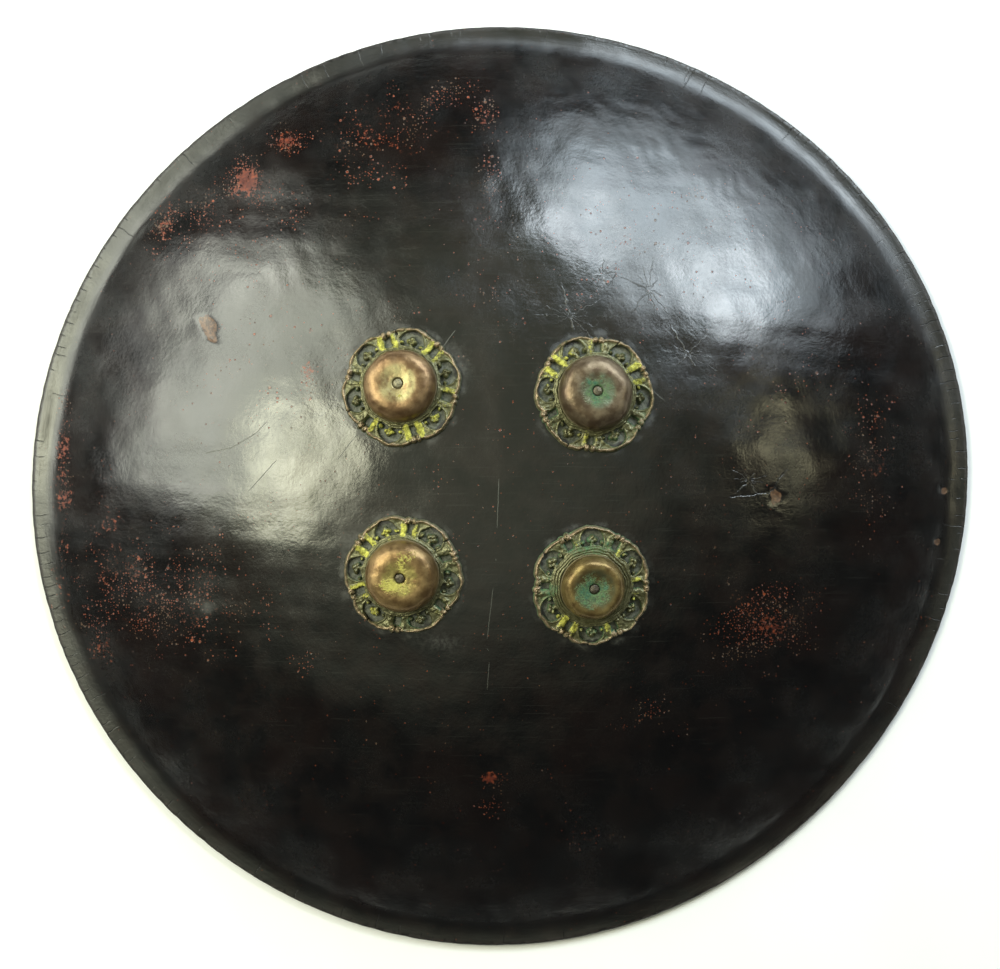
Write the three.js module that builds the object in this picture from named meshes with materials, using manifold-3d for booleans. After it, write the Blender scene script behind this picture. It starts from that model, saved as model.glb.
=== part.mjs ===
// A round hide shield lying on its rim: a shallow moulded dome with a turned-out lip, four domed
// caps on pierced rosettes in front, and two grip straps hung from rings behind.
// Millimetres, +Z up out of the front, +Y towards the upper bosses, rim on Z = 0.
import * as THREE from 'three';
import { mergeVertices } from 'three/addons/utils/BufferGeometryUtils.js';
import Module from 'manifold-3d';

const wasm = await Module();
wasm.setup();

const gap = 0.3; // clearance kept between touching pieces

// The hide: a dome that steepens outwards, then a lip that turns out to lie flat.
const shieldRadius = 247; // mean radius at the edge
const crownHeight = 86; // top of the dome above the surface it lies on
const domeDrop = 89; // fall of the dome's curve, if it ran on to the edge
const domePower = 2.3; // how the fall grows with radius
const lipStart = 0.945 * shieldRadius; // where the dome's curve turns into the lip
const lipTop = 3.4; // height of the upper face at the edge
const lipSlope = -0.06; // slope of the upper face at the edge
const lipFootWidth = 6; // flat ring under the lip that the shield rests on
const edgeRound = 1.1; // rounding of the outer edge
const hideThickness = 5; // at the crown
const rimThickness = 4.2; // where the lip begins
const hideSegments = 54;

// Lasting out-of-round of the dried hide: share of the radius, number of swells, heading (degrees).
const swells = [
  { share: 0.0117, count: 2, heading: 18.3 },
  { share: 0.0037, count: 3, heading: 22.5 },
  { share: 0.0029, count: 4, heading: 6 },
];

// The bosses stand near the corners of a square. Each was set by hand, so each has its own slip
// from its corner, turn of the rosette (degrees) and cap.
const bossSpacing = 96;
const bosses = [
  {
    name: 'upper_left',
    side: [-1, 1],
    slip: [-1.3, 1.1],
    turn: 17,
    cap: { radius: 18.2, dishRadius: 10, dishDepth: 0.7 },
  },
  {
    name: 'upper_right',
    side: [1, 1],
    slip: [0.1, -2.5],
    turn: -5,
    cap: { radius: 18.6, dishRadius: 9.5, dishDepth: 1 },
  },
  {
    name: 'lower_left',
    side: [-1, -1],
    slip: [-0.3, 2.3],
    turn: -9,
    cap: { radius: 18.3, dishRadius: 9.5, dishDepth: 0.6 },
  },
  {
    name: 'lower_right',
    side: [1, -1],
    slip: [-1.4, -3.1],
    turn: 30,
    cap: { radius: 16, dishRadius: 11, dishDepth: 1.9 },
  },
];

// Rosette: a cast plate with six scrolled lobes round a raised seat for the cap.
const lobeCount = 6;
const rosetteRadius = 30.3;
const rosetteThickness = 2.4;
const seatRadius = 19.4;
const seatTop = 3.1;
const openingInner = 21.3; // radial reach of each pierced opening
const openingOuter = 28.1;
const openingHalfAngle = 16; // degrees, as all angles here
const budHeight = 3.9; // bud that stands into the opening
const budFootHalfAngle = 10;
const budNeckHalfAngle = 2.6;
const budHeadHalfAngle = 4;
const slotInner = 20.4; // slot between two lobes
const slotOuter = 25.5;
const slotHalfAngle = 4.2;
const beadRadius = 29.7; // reach of the paired beads beside each notch
const beadHalfAngle = 27.2; // from the lobe's middle
const neckRadius = 28.8; // dip between a lobe's arc and its bead
const neckHalfAngle = 24.4;
const notchRadius = 28;
const lobeDroop = 0.04; // share by which a lobe's arc falls at its neck

// Cap, bolt and washer, measured along the boss's own axis from the hide's outer face.
const capBase = seatTop + gap;
const capHeight = 10.4;
const pitRadius = 2.9; // pit round the riveted tip
const pitDepth = 1.3;
const boltRadius = 2;
const boltHoleRadius = 2.45;
const washerRadius = 9;
const washerThickness = 1.6;
const washerGap = 0.5; // the hide curves in towards the washer's edge
const eyeRadius = 6.25; // middle of the eye's wire
const eyeWire = 1.75;
const eyeDrop = hideThickness + washerGap + washerThickness + gap + eyeRadius + eyeWire;

// Rings and straps.
const ringRadius = 15; // middle of the ring's wire
const ringWire = 2;
const strapLoopInner = 3.4;
const strapLeather = 3;
const strapEndWidth = 11;
const strapWidth = 22;
const strapThickness = 6.4;
const strapSag = 8; // the grip's middle hangs below its ends
const strapBow = 14; // and bows in towards the other grip

const radians = THREE.MathUtils.degToRad;

function outlineScale(angle) {
  return swells.reduce(
    (sum, s) => sum + s.share * Math.cos(s.count * (angle - radians(s.heading))),
    1,
  );
}

function domeHeight(radius) {
  return crownHeight - domeDrop * Math.pow(radius / shieldRadius, domePower);
}

function domeSlope(radius) {
  return (-domeDrop * domePower * Math.pow(radius / shieldRadius, domePower - 1)) / shieldRadius;
}

// Height of the outer face over a point of the plan.
function surfaceHeight(x, y) {
  return domeHeight(Math.hypot(x, y) / outlineScale(Math.atan2(y, x)));
}

// Upper face of the lip, on a cubic from the dome's slope to the edge's.
function lipHeight(radius) {
  const span = shieldRadius - lipStart;
  const t = (radius - lipStart) / span;
  const startTerm = (1 + 2 * t) * (1 - t) ** 2 * domeHeight(lipStart);
  const startSlope = t * (1 - t) ** 2 * span * domeSlope(lipStart);
  const endTerm = t * t * (3 - 2 * t) * lipTop;
  const endSlope = t * t * (t - 1) * span * lipSlope;
  return startTerm + startSlope + endTerm + endSlope;
}

// Solid of revolution round Z from [radius, height] pairs.
function turned(pairs, segments) {
  const profile = pairs.map(([radius, height]) => new THREE.Vector2(radius, height));
  return new THREE.LatheGeometry(profile, segments).rotateX(Math.PI / 2);
}

// Only positions, with shared vertices merged, as booleans need them.
function bare(geometry) {
  const plain = geometry.clone();
  plain.deleteAttribute('normal');
  plain.deleteAttribute('uv');
  return mergeVertices(plain, 1e-4);
}

function toSolid(geometry) {
  const merged = bare(geometry);
  return new wasm.Manifold(
    new wasm.Mesh({
      numProp: 3,
      vertProperties: merged.attributes.position.array,
      triVerts: new Uint32Array(merged.index.array),
    }),
  );
}

function toGeometry(solid) {
  const mesh = solid.getMesh();
  const geometry = new THREE.BufferGeometry();
  geometry.setAttribute('position', new THREE.BufferAttribute(mesh.vertProperties, 3));
  geometry.setIndex(new THREE.BufferAttribute(mesh.triVerts, 1));
  geometry.computeVertexNormals();
  return geometry;
}

function moveVertices(geometry, change) {
  const position = geometry.attributes.position;
  const point = new THREE.Vector3();
  for (let i = 0; i < position.count; i++) {
    point.fromBufferAttribute(position, i);
    change(point);
    position.setXYZ(i, point.x, point.y, point.z);
  }
  return geometry;
}

function named(name, geometry, finish) {
  const mesh = new THREE.Mesh(geometry, new THREE.MeshStandardMaterial(finish));
  mesh.name = name;
  return mesh;
}

const lacquer = { color: 0x1c1512, roughness: 0.32, metalness: 0 };
const brass = { color: 0x8d7f3c, roughness: 0.45, metalness: 1 };
const copper = { color: 0x9a6240, roughness: 0.35, metalness: 1 };
const iron = { color: 0x4a4540, roughness: 0.6, metalness: 1 };
const leather = { color: 0x4a2a1a, roughness: 0.7, metalness: 0 };

// Frame of a boss: origin on the outer face, Z along the face's normal, X level with the shield's X.
function bossFrame(boss) {
  const x = boss.side[0] * (bossSpacing / 2) + boss.slip[0];
  const y = boss.side[1] * (bossSpacing / 2) + boss.slip[1];
  const step = 0.5;
  const slopeX = (surfaceHeight(x + step, y) - surfaceHeight(x - step, y)) / (2 * step);
  const slopeY = (surfaceHeight(x, y + step) - surfaceHeight(x, y - step)) / (2 * step);
  const normal = new THREE.Vector3(-slopeX, -slopeY, 1).normalize();
  const across = new THREE.Vector3(1, 0, slopeX).normalize();
  const along = new THREE.Vector3().crossVectors(normal, across);
  return new THREE.Matrix4()
    .makeBasis(across, along, normal)
    .setPosition(x, y, surfaceHeight(x, y));
}

// Closed profile of the hide: over the top to the edge, round it, and back underneath.
function hideProfile() {
  const outer = [0, 34, 66, 98, 132, 164, 194, 221].map((r) => [r, domeHeight(r)]);
  const lip = [0, 0.3, 0.62].map((t) => {
    const radius = THREE.MathUtils.lerp(lipStart, shieldRadius, t);
    return [radius, lipHeight(radius)];
  });
  const edge = [
    [shieldRadius - edgeRound, lipTop],
    [shieldRadius, lipTop - edgeRound],
    [shieldRadius, edgeRound],
    [shieldRadius - edgeRound, 0],
    [shieldRadius - edgeRound - lipFootWidth, 0],
  ];
  const inner = [232, 205, 172, 138, 100, 74, 52, 26].map((radius) => {
    const thickness = THREE.MathUtils.lerp(hideThickness, rimThickness, radius / lipStart);
    const tilt = Math.atan(domeSlope(radius));
    return [radius + thickness * Math.sin(tilt), domeHeight(radius) - thickness * Math.cos(tilt)];
  });
  return [...outer, ...lip, ...edge, ...inner, [0, crownHeight - hideThickness]];
}

function makeHide() {
  const blank = moveVertices(bare(turned(hideProfile().reverse(), hideSegments)), (point) => {
    const scale = outlineScale(Math.atan2(point.y, point.x));
    point.x *= scale;
    point.y *= scale;
  });
  let solid = toSolid(blank);
  for (const boss of bosses) {
    const drill = new THREE.CylinderGeometry(boltHoleRadius, boltHoleRadius, 4 * hideThickness, 8);
    drill.rotateX(Math.PI / 2).applyMatrix4(bossFrame(boss));
    solid = solid.subtract(toSolid(drill));
  }
  return toGeometry(solid);
}

function polar(radius, degrees) {
  return new THREE.Vector2(radius * Math.cos(radians(degrees)), radius * Math.sin(radians(degrees)));
}

// One lobe's share of the outline, from notch to notch: bead, lobe arc, bead.
function lobeOutline(heading) {
  const notch = 180 / lobeCount;
  const lobeArc = [-18, -7, 7, 18].map((angle) => {
    const radius = rosetteRadius * (1 - lobeDroop * (Math.abs(angle) / neckHalfAngle) ** 3);
    return polar(radius, heading + angle);
  });
  return [
    polar(notchRadius, heading - notch),
    polar(beadRadius, heading - beadHalfAngle),
    polar(neckRadius, heading - neckHalfAngle),
    ...lobeArc,
    polar(neckRadius, heading + neckHalfAngle),
    polar(beadRadius, heading + beadHalfAngle),
  ];
}

// Kidney-shaped opening with a bud standing into it from the inner ring.
function lobeOpening(heading) {
  const middle = (openingInner + openingOuter) / 2;
  const outerArc = [
    [middle, -openingHalfAngle],
    [openingOuter - 0.6, -0.79 * openingHalfAngle],
    [openingOuter, 0],
    [openingOuter - 0.6, 0.79 * openingHalfAngle],
    [middle, openingHalfAngle],
  ];
  const bud = [
    [openingInner, budFootHalfAngle],
    [openingInner + 0.5, budNeckHalfAngle],
    [openingInner + budHeight, budHeadHalfAngle],
    [openingInner + budHeight, -budHeadHalfAngle],
    [openingInner + 0.5, -budNeckHalfAngle],
    [openingInner, -budFootHalfAngle],
  ];
  return [...outerArc, ...bud].map(([radius, angle]) => polar(radius, heading + angle));
}

function slotOpening(heading) {
  return [
    polar(slotInner, heading - slotHalfAngle),
    polar(slotOuter, heading - slotHalfAngle),
    polar(slotOuter, heading + slotHalfAngle),
    polar(slotInner, heading + slotHalfAngle),
  ];
}

function circle(radius, count) {
  return Array.from({ length: count }, (_, i) => polar(radius, (i * 360) / count));
}

function makeRosette(boss, frame) {
  const headings = Array.from({ length: lobeCount }, (_, k) => boss.turn + (k * 360) / lobeCount);
  const shape = new THREE.Shape(headings.flatMap(lobeOutline));
  for (const heading of headings) {
    shape.holes.push(new THREE.Path(lobeOpening(heading)));
    shape.holes.push(new THREE.Path(slotOpening(heading + 180 / lobeCount)));
  }
  shape.holes.push(new THREE.Path(circle(seatRadius - 2, 12)));
  const plate = new THREE.ExtrudeGeometry(shape, { depth: rosetteThickness, bevelEnabled: false });
  const inverse = frame.clone().invert();
  const toLocal = (point) => point.applyMatrix4(inverse);
  const probe = new THREE.Vector3();
  // Bends the flat plate so that its lower face follows the hide.
  moveVertices(plate, (point) => {
    let fall = 0;
    for (let pass = 0; pass < 4; pass++) {
      probe.set(point.x, point.y, fall).applyMatrix4(frame);
      probe.z = surfaceHeight(probe.x, probe.y);
      fall = toLocal(probe).z;
    }
    point.z += fall + gap;
  });
  const seat = turned(
    [
      [boltHoleRadius, gap],
      [seatRadius, gap],
      [seatRadius, seatTop],
      [boltHoleRadius, seatTop],
      [boltHoleRadius, gap],
    ],
    16,
  );
  return toGeometry(toSolid(plate).add(toSolid(seat)));
}

// Domed cap with rounded shoulders, a dished top and a pit for the riveted tip.
function makeCap({ radius, dishRadius, dishDepth }) {
  const top = capBase + capHeight;
  const shoulder = (radius - dishRadius) * 0.55;
  return turned(
    [
      [boltHoleRadius, capBase],
      [radius - 0.6, capBase],
      [radius, capBase + 3.4],
      [radius - shoulder * 0.35, capBase + capHeight * 0.72],
      [radius - shoulder, top - 0.7],
      [dishRadius, top - dishDepth * 0.35],
      [pitRadius, top - dishDepth],
      [boltHoleRadius, top - dishDepth - pitDepth],
      [boltHoleRadius, capBase],
    ],
    18,
  );
}

// Bolt from its riveted tip in the cap's pit to the eye behind the hide.
function makeRingBolt({ dishDepth }) {
  const tip = capBase + capHeight - dishDepth;
  const shank = turned(
    [
      [0, -eyeDrop + eyeRadius - eyeWire / 2],
      [boltRadius, -eyeDrop + eyeRadius - eyeWire / 2],
      [boltRadius, tip - 0.9],
      [boltRadius * 0.6, tip - 0.2],
      [0, tip],
    ],
    8,
  );
  const eye = new THREE.TorusGeometry(eyeRadius, eyeWire, 6, 12);
  eye.rotateY(Math.PI / 2).translate(0, 0, -eyeDrop);
  return toGeometry(toSolid(shank).add(toSolid(eye)));
}

function makeWasher() {
  const top = -hideThickness - washerGap;
  return turned(
    [
      [boltHoleRadius, top - washerThickness],
      [washerRadius, top - washerThickness],
      [washerRadius, top],
      [boltHoleRadius, top],
      [boltHoleRadius, top - washerThickness],
    ],
    10,
  );
}

// Middle of a hanging ring, with its wire in the bottom of the eye.
function ringCentre(frame) {
  const eye = new THREE.Vector3(0, 0, -eyeDrop).applyMatrix4(frame);
  const slack = eyeRadius - eyeWire - ringWire - 0.5;
  return eye.setZ(eye.z - slack - ringRadius);
}

// Grip strap between two rings, along local Y, with a sewn loop round each ring's wire.
function makeStrap(length, bowSide) {
  const loopOuter = strapLoopInner + strapLeather;
  const stations = 11;
  const corners = 8;
  const start = -length / 2 + strapLoopInner + strapLeather / 2;
  const rows = [];
  for (let i = 0; i < stations; i++) {
    const t = (2 * i) / (stations - 1) - 1;
    const swell = 1 - t ** 4;
    const halfWidth = THREE.MathUtils.lerp(strapEndWidth, strapWidth, swell) / 2;
    const halfThickness = THREE.MathUtils.lerp(strapLeather * 1.6, strapThickness, swell) / 2;
    const middle = (1 - t * t) ** 1.5;
    for (let k = 0; k < corners; k++) {
      const angle = (k * 2 * Math.PI) / corners;
      rows.push(
        bowSide * strapBow * middle + halfWidth * Math.cos(angle),
        -start * t,
        halfThickness * Math.sin(angle) - strapSag * middle,
      );
    }
  }
  const faces = [];
  for (let i = 0; i < stations - 1; i++) {
    for (let k = 0; k < corners; k++) {
      const next = (k + 1) % corners;
      const a = i * corners + k;
      const b = i * corners + next;
      faces.push(a, a + corners, b, b, a + corners, b + corners);
    }
  }
  const last = (stations - 1) * corners;
  for (let k = 1; k < corners - 1; k++) {
    faces.push(0, k, k + 1);
    faces.push(last, last + k + 1, last + k);
  }
  const body = new THREE.BufferGeometry();
  body.setAttribute('position', new THREE.Float32BufferAttribute(rows, 3));
  body.setIndex(faces);
  const half = strapEndWidth / 2;
  let solid = toSolid(body);
  for (const end of [-1, 1]) {
    const loop = turned(
      [
        [strapLoopInner, -half],
        [loopOuter, -half],
        [loopOuter, half],
        [strapLoopInner, half],
        [strapLoopInner, -half],
      ],
      12,
    );
    const hole = new THREE.CylinderGeometry(strapLoopInner, strapLoopInner, strapWidth, 12);
    loop.rotateY(Math.PI / 2).translate(0, (end * length) / 2, 0);
    hole.rotateZ(Math.PI / 2).translate(0, (end * length) / 2, 0);
    solid = solid.subtract(toSolid(hole)).add(toSolid(loop));
  }
  return toGeometry(solid);
}

const shield = new THREE.Group();
const hide = named('hide_disc', makeHide(), lacquer);
shield.add(hide);

const rings = {};
for (const boss of bosses) {
  const frame = bossFrame(boss);
  const fittings = new THREE.Group();
  fittings.applyMatrix4(frame);
  fittings.add(named(`rosette_${boss.name}`, makeRosette(boss, frame), brass));
  fittings.add(named(`cap_${boss.name}`, makeCap(boss.cap), copper));
  fittings.add(named(`ring_bolt_${boss.name}`, makeRingBolt(boss.cap), iron));
  fittings.add(named(`washer_${boss.name}`, makeWasher(), iron));
  shield.add(fittings);
  const wire = new THREE.TorusGeometry(ringRadius, ringWire, 6, 16).rotateX(Math.PI / 2);
  const ring = named(`grip_ring_${boss.name}`, wire, iron);
  ring.position.copy(ringCentre(frame));
  shield.add(ring);
  rings[boss.name] = ring.position;
}

for (const [side, bowSide] of [['left', 1], ['right', -1]]) {
  const upper = rings[`upper_${side}`];
  const lower = rings[`lower_${side}`];
  const run = new THREE.Vector3().subVectors(upper, lower);
  const strap = named(`grip_strap_${side}`, makeStrap(run.length(), bowSide), leather);
  strap.position.addVectors(upper, lower).multiplyScalar(0.5);
  strap.position.z -= ringRadius - 0.5;
  strap.quaternion.setFromUnitVectors(new THREE.Vector3(0, 1, 0), run.normalize());
  shield.add(strap);
}

// The origin is the middle of the rim's box, on the surface the shield lies on.
hide.geometry.computeBoundingBox();
const centre = hide.geometry.boundingBox.getCenter(new THREE.Vector3());
shield.position.set(-centre.x, -centre.y, 0);

export default shield;
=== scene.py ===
import math
import bpy
import numpy as np
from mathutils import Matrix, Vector


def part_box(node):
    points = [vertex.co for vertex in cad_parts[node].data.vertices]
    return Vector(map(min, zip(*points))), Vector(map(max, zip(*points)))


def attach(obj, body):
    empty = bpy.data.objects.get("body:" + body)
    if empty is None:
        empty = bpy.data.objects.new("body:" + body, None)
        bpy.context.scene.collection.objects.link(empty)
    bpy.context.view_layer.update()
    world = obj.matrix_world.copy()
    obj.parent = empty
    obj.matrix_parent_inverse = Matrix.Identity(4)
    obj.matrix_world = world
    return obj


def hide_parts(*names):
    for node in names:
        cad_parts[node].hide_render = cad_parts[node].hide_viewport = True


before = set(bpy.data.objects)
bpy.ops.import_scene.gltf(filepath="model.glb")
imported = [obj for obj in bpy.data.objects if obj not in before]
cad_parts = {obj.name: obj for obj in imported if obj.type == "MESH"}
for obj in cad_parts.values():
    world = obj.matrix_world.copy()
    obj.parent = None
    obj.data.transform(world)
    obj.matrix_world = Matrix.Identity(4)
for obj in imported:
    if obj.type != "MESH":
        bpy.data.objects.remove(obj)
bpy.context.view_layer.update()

mm = 0.001
tau = 2 * math.pi
sides = ("upper_left", "upper_right", "lower_left", "lower_right")


def lerp(a, b, t):
    return a + (b - a) * t


def smoothStep(low, high, x):
    t = np.clip((x - low) / (high - low), 0, 1)
    return t * t * (3 - 2 * t)


# Seeded sum of plane waves: a smooth, lumpy field with a spread of about 1.
def ripples(x, y, wavelength, seed, waves=22):
    rng = np.random.default_rng(seed)
    total = np.zeros(np.broadcast(x, y).shape)
    for _ in range(waves):
        heading, phase = rng.uniform(0, tau, 2)
        step = tau / (wavelength * rng.uniform(0.65, 1.6))
        total += np.sin(step * (x * math.cos(heading) + y * math.sin(heading)) + phase)
    return total * math.sqrt(2 / waves)


# Soft-edged patches, each [x, y, half width, half height, strength].
def patchField(x, y, patches):
    total = np.zeros(np.shape(x))
    for px, py, halfX, halfY, strength in patches:
        far = ((x - px) / halfX) ** 2 + ((y - py) / halfY) ** 2
        total = np.maximum(total, strength * np.exp(-0.7 * far))
    return total


# Mesh object from millimetre points and a list of face arrays; tags is {attribute name: values}.
def meshPiece(name, points, faceSets, tags=None, materials=(), faceMaterial=None):
    mesh = bpy.data.meshes.new(name)
    sizes = np.concatenate([np.full(len(f), f.shape[1]) for f in faceSets])
    corners = np.concatenate([f.ravel() for f in faceSets]).astype(np.int32)
    mesh.vertices.add(len(points))
    mesh.vertices.foreach_set("co", (np.asarray(points) * mm).ravel())
    mesh.loops.add(len(corners))
    mesh.loops.foreach_set("vertex_index", corners)
    mesh.polygons.add(len(sizes))
    mesh.polygons.foreach_set("loop_start", np.concatenate([[0], np.cumsum(sizes)[:-1]]).astype(np.int32))
    mesh.polygons.foreach_set("use_smooth", np.ones(len(sizes), bool))
    if faceMaterial is not None:
        mesh.polygons.foreach_set("material_index", np.asarray(faceMaterial, np.int32))
    mesh.update(calc_edges=True)
    mesh.validate()
    for tag, values in (tags or {}).items():
        mesh.attributes.new(tag, "FLOAT", "POINT").data.foreach_set("value", np.asarray(values, np.float32))
    for material in materials:
        mesh.materials.append(material)
    piece = bpy.data.objects.new(name, mesh)
    bpy.context.scene.collection.objects.link(piece)
    return piece


def settle(piece, node):
    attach(piece, "root")
    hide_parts(node)


dome = {
    "radius": 247, "crown": 86, "drop": 89, "power": 2.3, "lipStart": 0.945 * 247, "lipTop": 3.4,
    "lipSlope": -0.06, "lipFoot": 6, "edgeRound": 1.1, "thickness": 5, "rimThickness": 4.2,
    "solidSegments": 54,
    "swells": [(0.0117, 2, 18.3), (0.0037, 3, 22.5), (0.0029, 4, 6)],  # share, count, heading
}


def outlineScale(angle):
    return 1 + sum(share * np.cos(count * (angle - math.radians(heading)))
                   for share, count, heading in dome["swells"])


def domeHeight(radius):
    return dome["crown"] - dome["drop"] * (radius / dome["radius"]) ** dome["power"]


def domeSlope(radius):
    return -dome["drop"] * dome["power"] * (radius / dome["radius"]) ** (dome["power"] - 1) / dome["radius"]


# The solid's box is centred on the origin, so the dome's own axis stands a little to one side.
rimAngles = np.arange(dome["solidSegments"]) * tau / dome["solidSegments"] - tau / 4
rimReach = dome["radius"] * outlineScale(rimAngles)
axisX = -0.5 * (np.max(rimReach * np.cos(rimAngles)) + np.min(rimReach * np.cos(rimAngles)))
axisY = -0.5 * (np.max(rimReach * np.sin(rimAngles)) + np.min(rimReach * np.sin(rimAngles)))


# Relief of the dried hide on its outer face, in millimetres along the normal.
hideRelief = {
    # height, wavelength, seed
    "waves": [(0.30, 95, 11), (0.17, 46, 12), (0.048, 18, 13), (0.013, 8.5, 14)],
    "chips": [((-150, 81), (3.7, 7.8), 24), ((141.5, -6.5), (2.6, 5.4), 8)],  # middle, half sizes, turn
    "chipDepth": 0.6, "chipLip": 0.09,
    "wrinkleArc": (62, 33, 205, 20),  # middle and half width in degrees, radius and half width
    "plugs": [(237, -3.5), (233, -30.6)],
}


def chipDistance(x, y):
    nearest = np.full(np.shape(x), 1e3)
    for at, size, turn in hideRelief["chips"]:
        c, sn = math.cos(math.radians(turn)), math.sin(math.radians(turn))
        dx, dy = x - at[0], y - at[1]
        across, along = (dx * c + dy * sn) / size[0], (dy * c - dx * sn) / size[1]
        heading = np.arctan2(along, across)
        ragged = (1 + 0.14 * np.sin(3 * heading + 0.6) + 0.11 * np.sin(5 * heading + 2)
                  + 0.07 * np.sin(9 * heading))
        nearest = np.minimum(nearest, (np.hypot(across, along) - ragged) * size[0])
    return nearest


def hideDisplacement(x, y):
    radius = np.hypot(x, y)
    total = sum(height * ripples(x, y, length, seed) for height, length, seed in hideRelief["waves"])
    heading, spread, reach, width = hideRelief["wrinkleArc"]
    turn = np.degrees(np.arctan2(y, x)) - heading
    fold = np.exp(-((turn / spread) ** 2) - ((radius - reach) / width) ** 2)
    total = total + 0.10 * fold * np.sin(tau * (radius + 2.6 * ripples(x, y, 30, 15)) / 6.2)
    away = chipDistance(x, y)
    total = total - hideRelief["chipDepth"] * smoothStep(0.5, -0.7, away)
    total = total + hideRelief["chipLip"] * np.exp(-((away - 0.9) / 0.7) ** 2)
    for px, py in hideRelief["plugs"]:
        near = np.hypot(x - px, y - py)
        total = total - 0.35 * smoothStep(2.3, 1.5, near) + 0.12 * np.exp(-((near - 2.6) / 0.8) ** 2)
    return total * smoothStep(dome["radius"], dome["radius"] * 0.955, radius)


# Upper face of the lip; its end droops more on one side than on the other.
def lipHeight(radius, angle):
    start, end = dome["lipStart"], dome["radius"]
    span = end - start
    t = (radius - start) / span
    droop = smoothStep(85, 120, np.degrees(angle)) * smoothStep(205, 180, np.degrees(angle))
    endSlope = lerp(dome["lipSlope"], -0.30, droop)
    return ((1 + 2 * t) * (1 - t) ** 2 * domeHeight(start) + t * (1 - t) ** 2 * span * domeSlope(start)
            + t * t * (3 - 2 * t) * dome["lipTop"] + t * t * (t - 1) * span * endSlope)


def surfaceHeight(x, y):
    return domeHeight(np.hypot(x, y) / outlineScale(np.arctan2(y, x)))


# Height of the real, uneven outer face over a point measured from the dome's axis.
def reliefHeight(x, y):
    radius = np.hypot(x, y) / outlineScale(np.arctan2(y, x))
    return domeHeight(radius) + hideDisplacement(x, y) * np.sqrt(1 + domeSlope(radius) ** 2)


class Shade:
    def __init__(self, tree):
        self.tree = tree

    def feed(self, socket, value):
        if isinstance(value, bpy.types.NodeSocket):
            self.tree.links.new(value, socket)
        elif isinstance(value, (tuple, list)) and len(value) == 3 and len(socket.default_value) == 4:
            socket.default_value = (*value, 1)
        else:
            socket.default_value = value

    def put(self, kind, values=None, **settings):
        node = self.tree.nodes.new(kind)
        for key, value in settings.items():
            setattr(node, key, value)
        for key, value in (values or {}).items():
            self.feed(node.inputs[key], value)
        return node

    def math(self, operation, a, b=0.0):
        return self.put("ShaderNodeMath", {0: a, 1: b}, operation=operation).outputs[0]

    def times(self, *factors):
        result = factors[0]
        for factor in factors[1:]:
            result = self.math("MULTIPLY", result, factor)
        return result

    def plus(self, a, b):
        return self.math("ADD", a, b)

    def most(self, *values):
        result = values[0]
        for value in values[1:]:
            result = self.math("MAXIMUM", result, value)
        return result

    def levels(self, value, low, high, toLow=0.0, toHigh=1.0, smooth=True):
        node = self.put("ShaderNodeMapRange", {"Value": value, "From Min": low, "From Max": high,
                                               "To Min": toLow, "To Max": toHigh},
                        interpolation_type="SMOOTHSTEP" if smooth else "LINEAR")
        return node.outputs["Result"]

    def mix(self, factor, a, b):
        return self.put("ShaderNodeMix", {0: factor, 6: a, 7: b}, data_type="RGBA").outputs[2]

    def noise(self, place, scale, detail=2.0, roughness=0.55, solid=False):
        node = self.put("ShaderNodeTexNoise", {"Vector": place, "Scale": scale, "Detail": detail,
                                               "Roughness": roughness},
                        noise_dimensions="3D" if solid else "2D")
        return node.outputs[0]

    def voronoi(self, place, scale, feature="F1", solid=False):
        return self.put("ShaderNodeTexVoronoi", {"Vector": place, "Scale": scale}, feature=feature,
                        voronoi_dimensions="3D" if solid else "2D")

    def vector(self, operation, a, b=(0, 0, 0), scale=None):
        node = self.put("ShaderNodeVectorMath", {0: a, 1: b}, operation=operation)
        if scale is not None:
            self.feed(node.inputs["Scale"], scale)
        return node.outputs["Value" if operation in ("LENGTH", "DOT_PRODUCT") else "Vector"]

    def split(self, vector):
        return self.put("ShaderNodeSeparateXYZ", {0: vector}).outputs

    def join(self, x, y, z):
        return self.put("ShaderNodeCombineXYZ", {0: x, 1: y, 2: z}).outputs[0]

    def tag(self, name):
        return self.put("ShaderNodeAttribute", attribute_name=name).outputs["Fac"]

    # Position in millimetres.
    def place(self):
        return self.vector("SCALE", self.put("ShaderNodeTexCoord").outputs["Object"], scale=1000)

    def bump(self, height, distance, strength=1.0):
        return self.put("ShaderNodeBump", {
            "Height": height, "Distance": distance, "Strength": strength}).outputs[0]

    def group(self, tree, **values):
        node = self.put("ShaderNodeGroup", node_tree=tree)
        for key, value in values.items():
            self.feed(node.inputs[key], value)
        return node.outputs


def newGroup(name, inputs, outputs):
    tree = bpy.data.node_groups.new(name, "ShaderNodeTree")
    kinds = {"value": "NodeSocketFloat", "vector": "NodeSocketVector", "colour": "NodeSocketColor"}
    for socketName, kind, default in inputs:
        socket = tree.interface.new_socket(socketName, in_out="INPUT", socket_type=kinds[kind])
        socket.default_value = default
    for socketName, kind in outputs:
        tree.interface.new_socket(socketName, in_out="OUTPUT", socket_type=kinds[kind])
    s = Shade(tree)
    return tree, s, s.put("NodeGroupInput").outputs, s.put("NodeGroupOutput").inputs


def newMaterial(name):
    material = bpy.data.materials.new(name)
    material.use_nodes = True
    material.node_tree.nodes.clear()
    s = Shade(material.node_tree)
    surface = s.put("ShaderNodeBsdfPrincipled")
    output = s.put("ShaderNodeOutputMaterial")
    s.tree.links.new(surface.outputs[0], output.inputs[0])
    return material, s, surface


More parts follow.
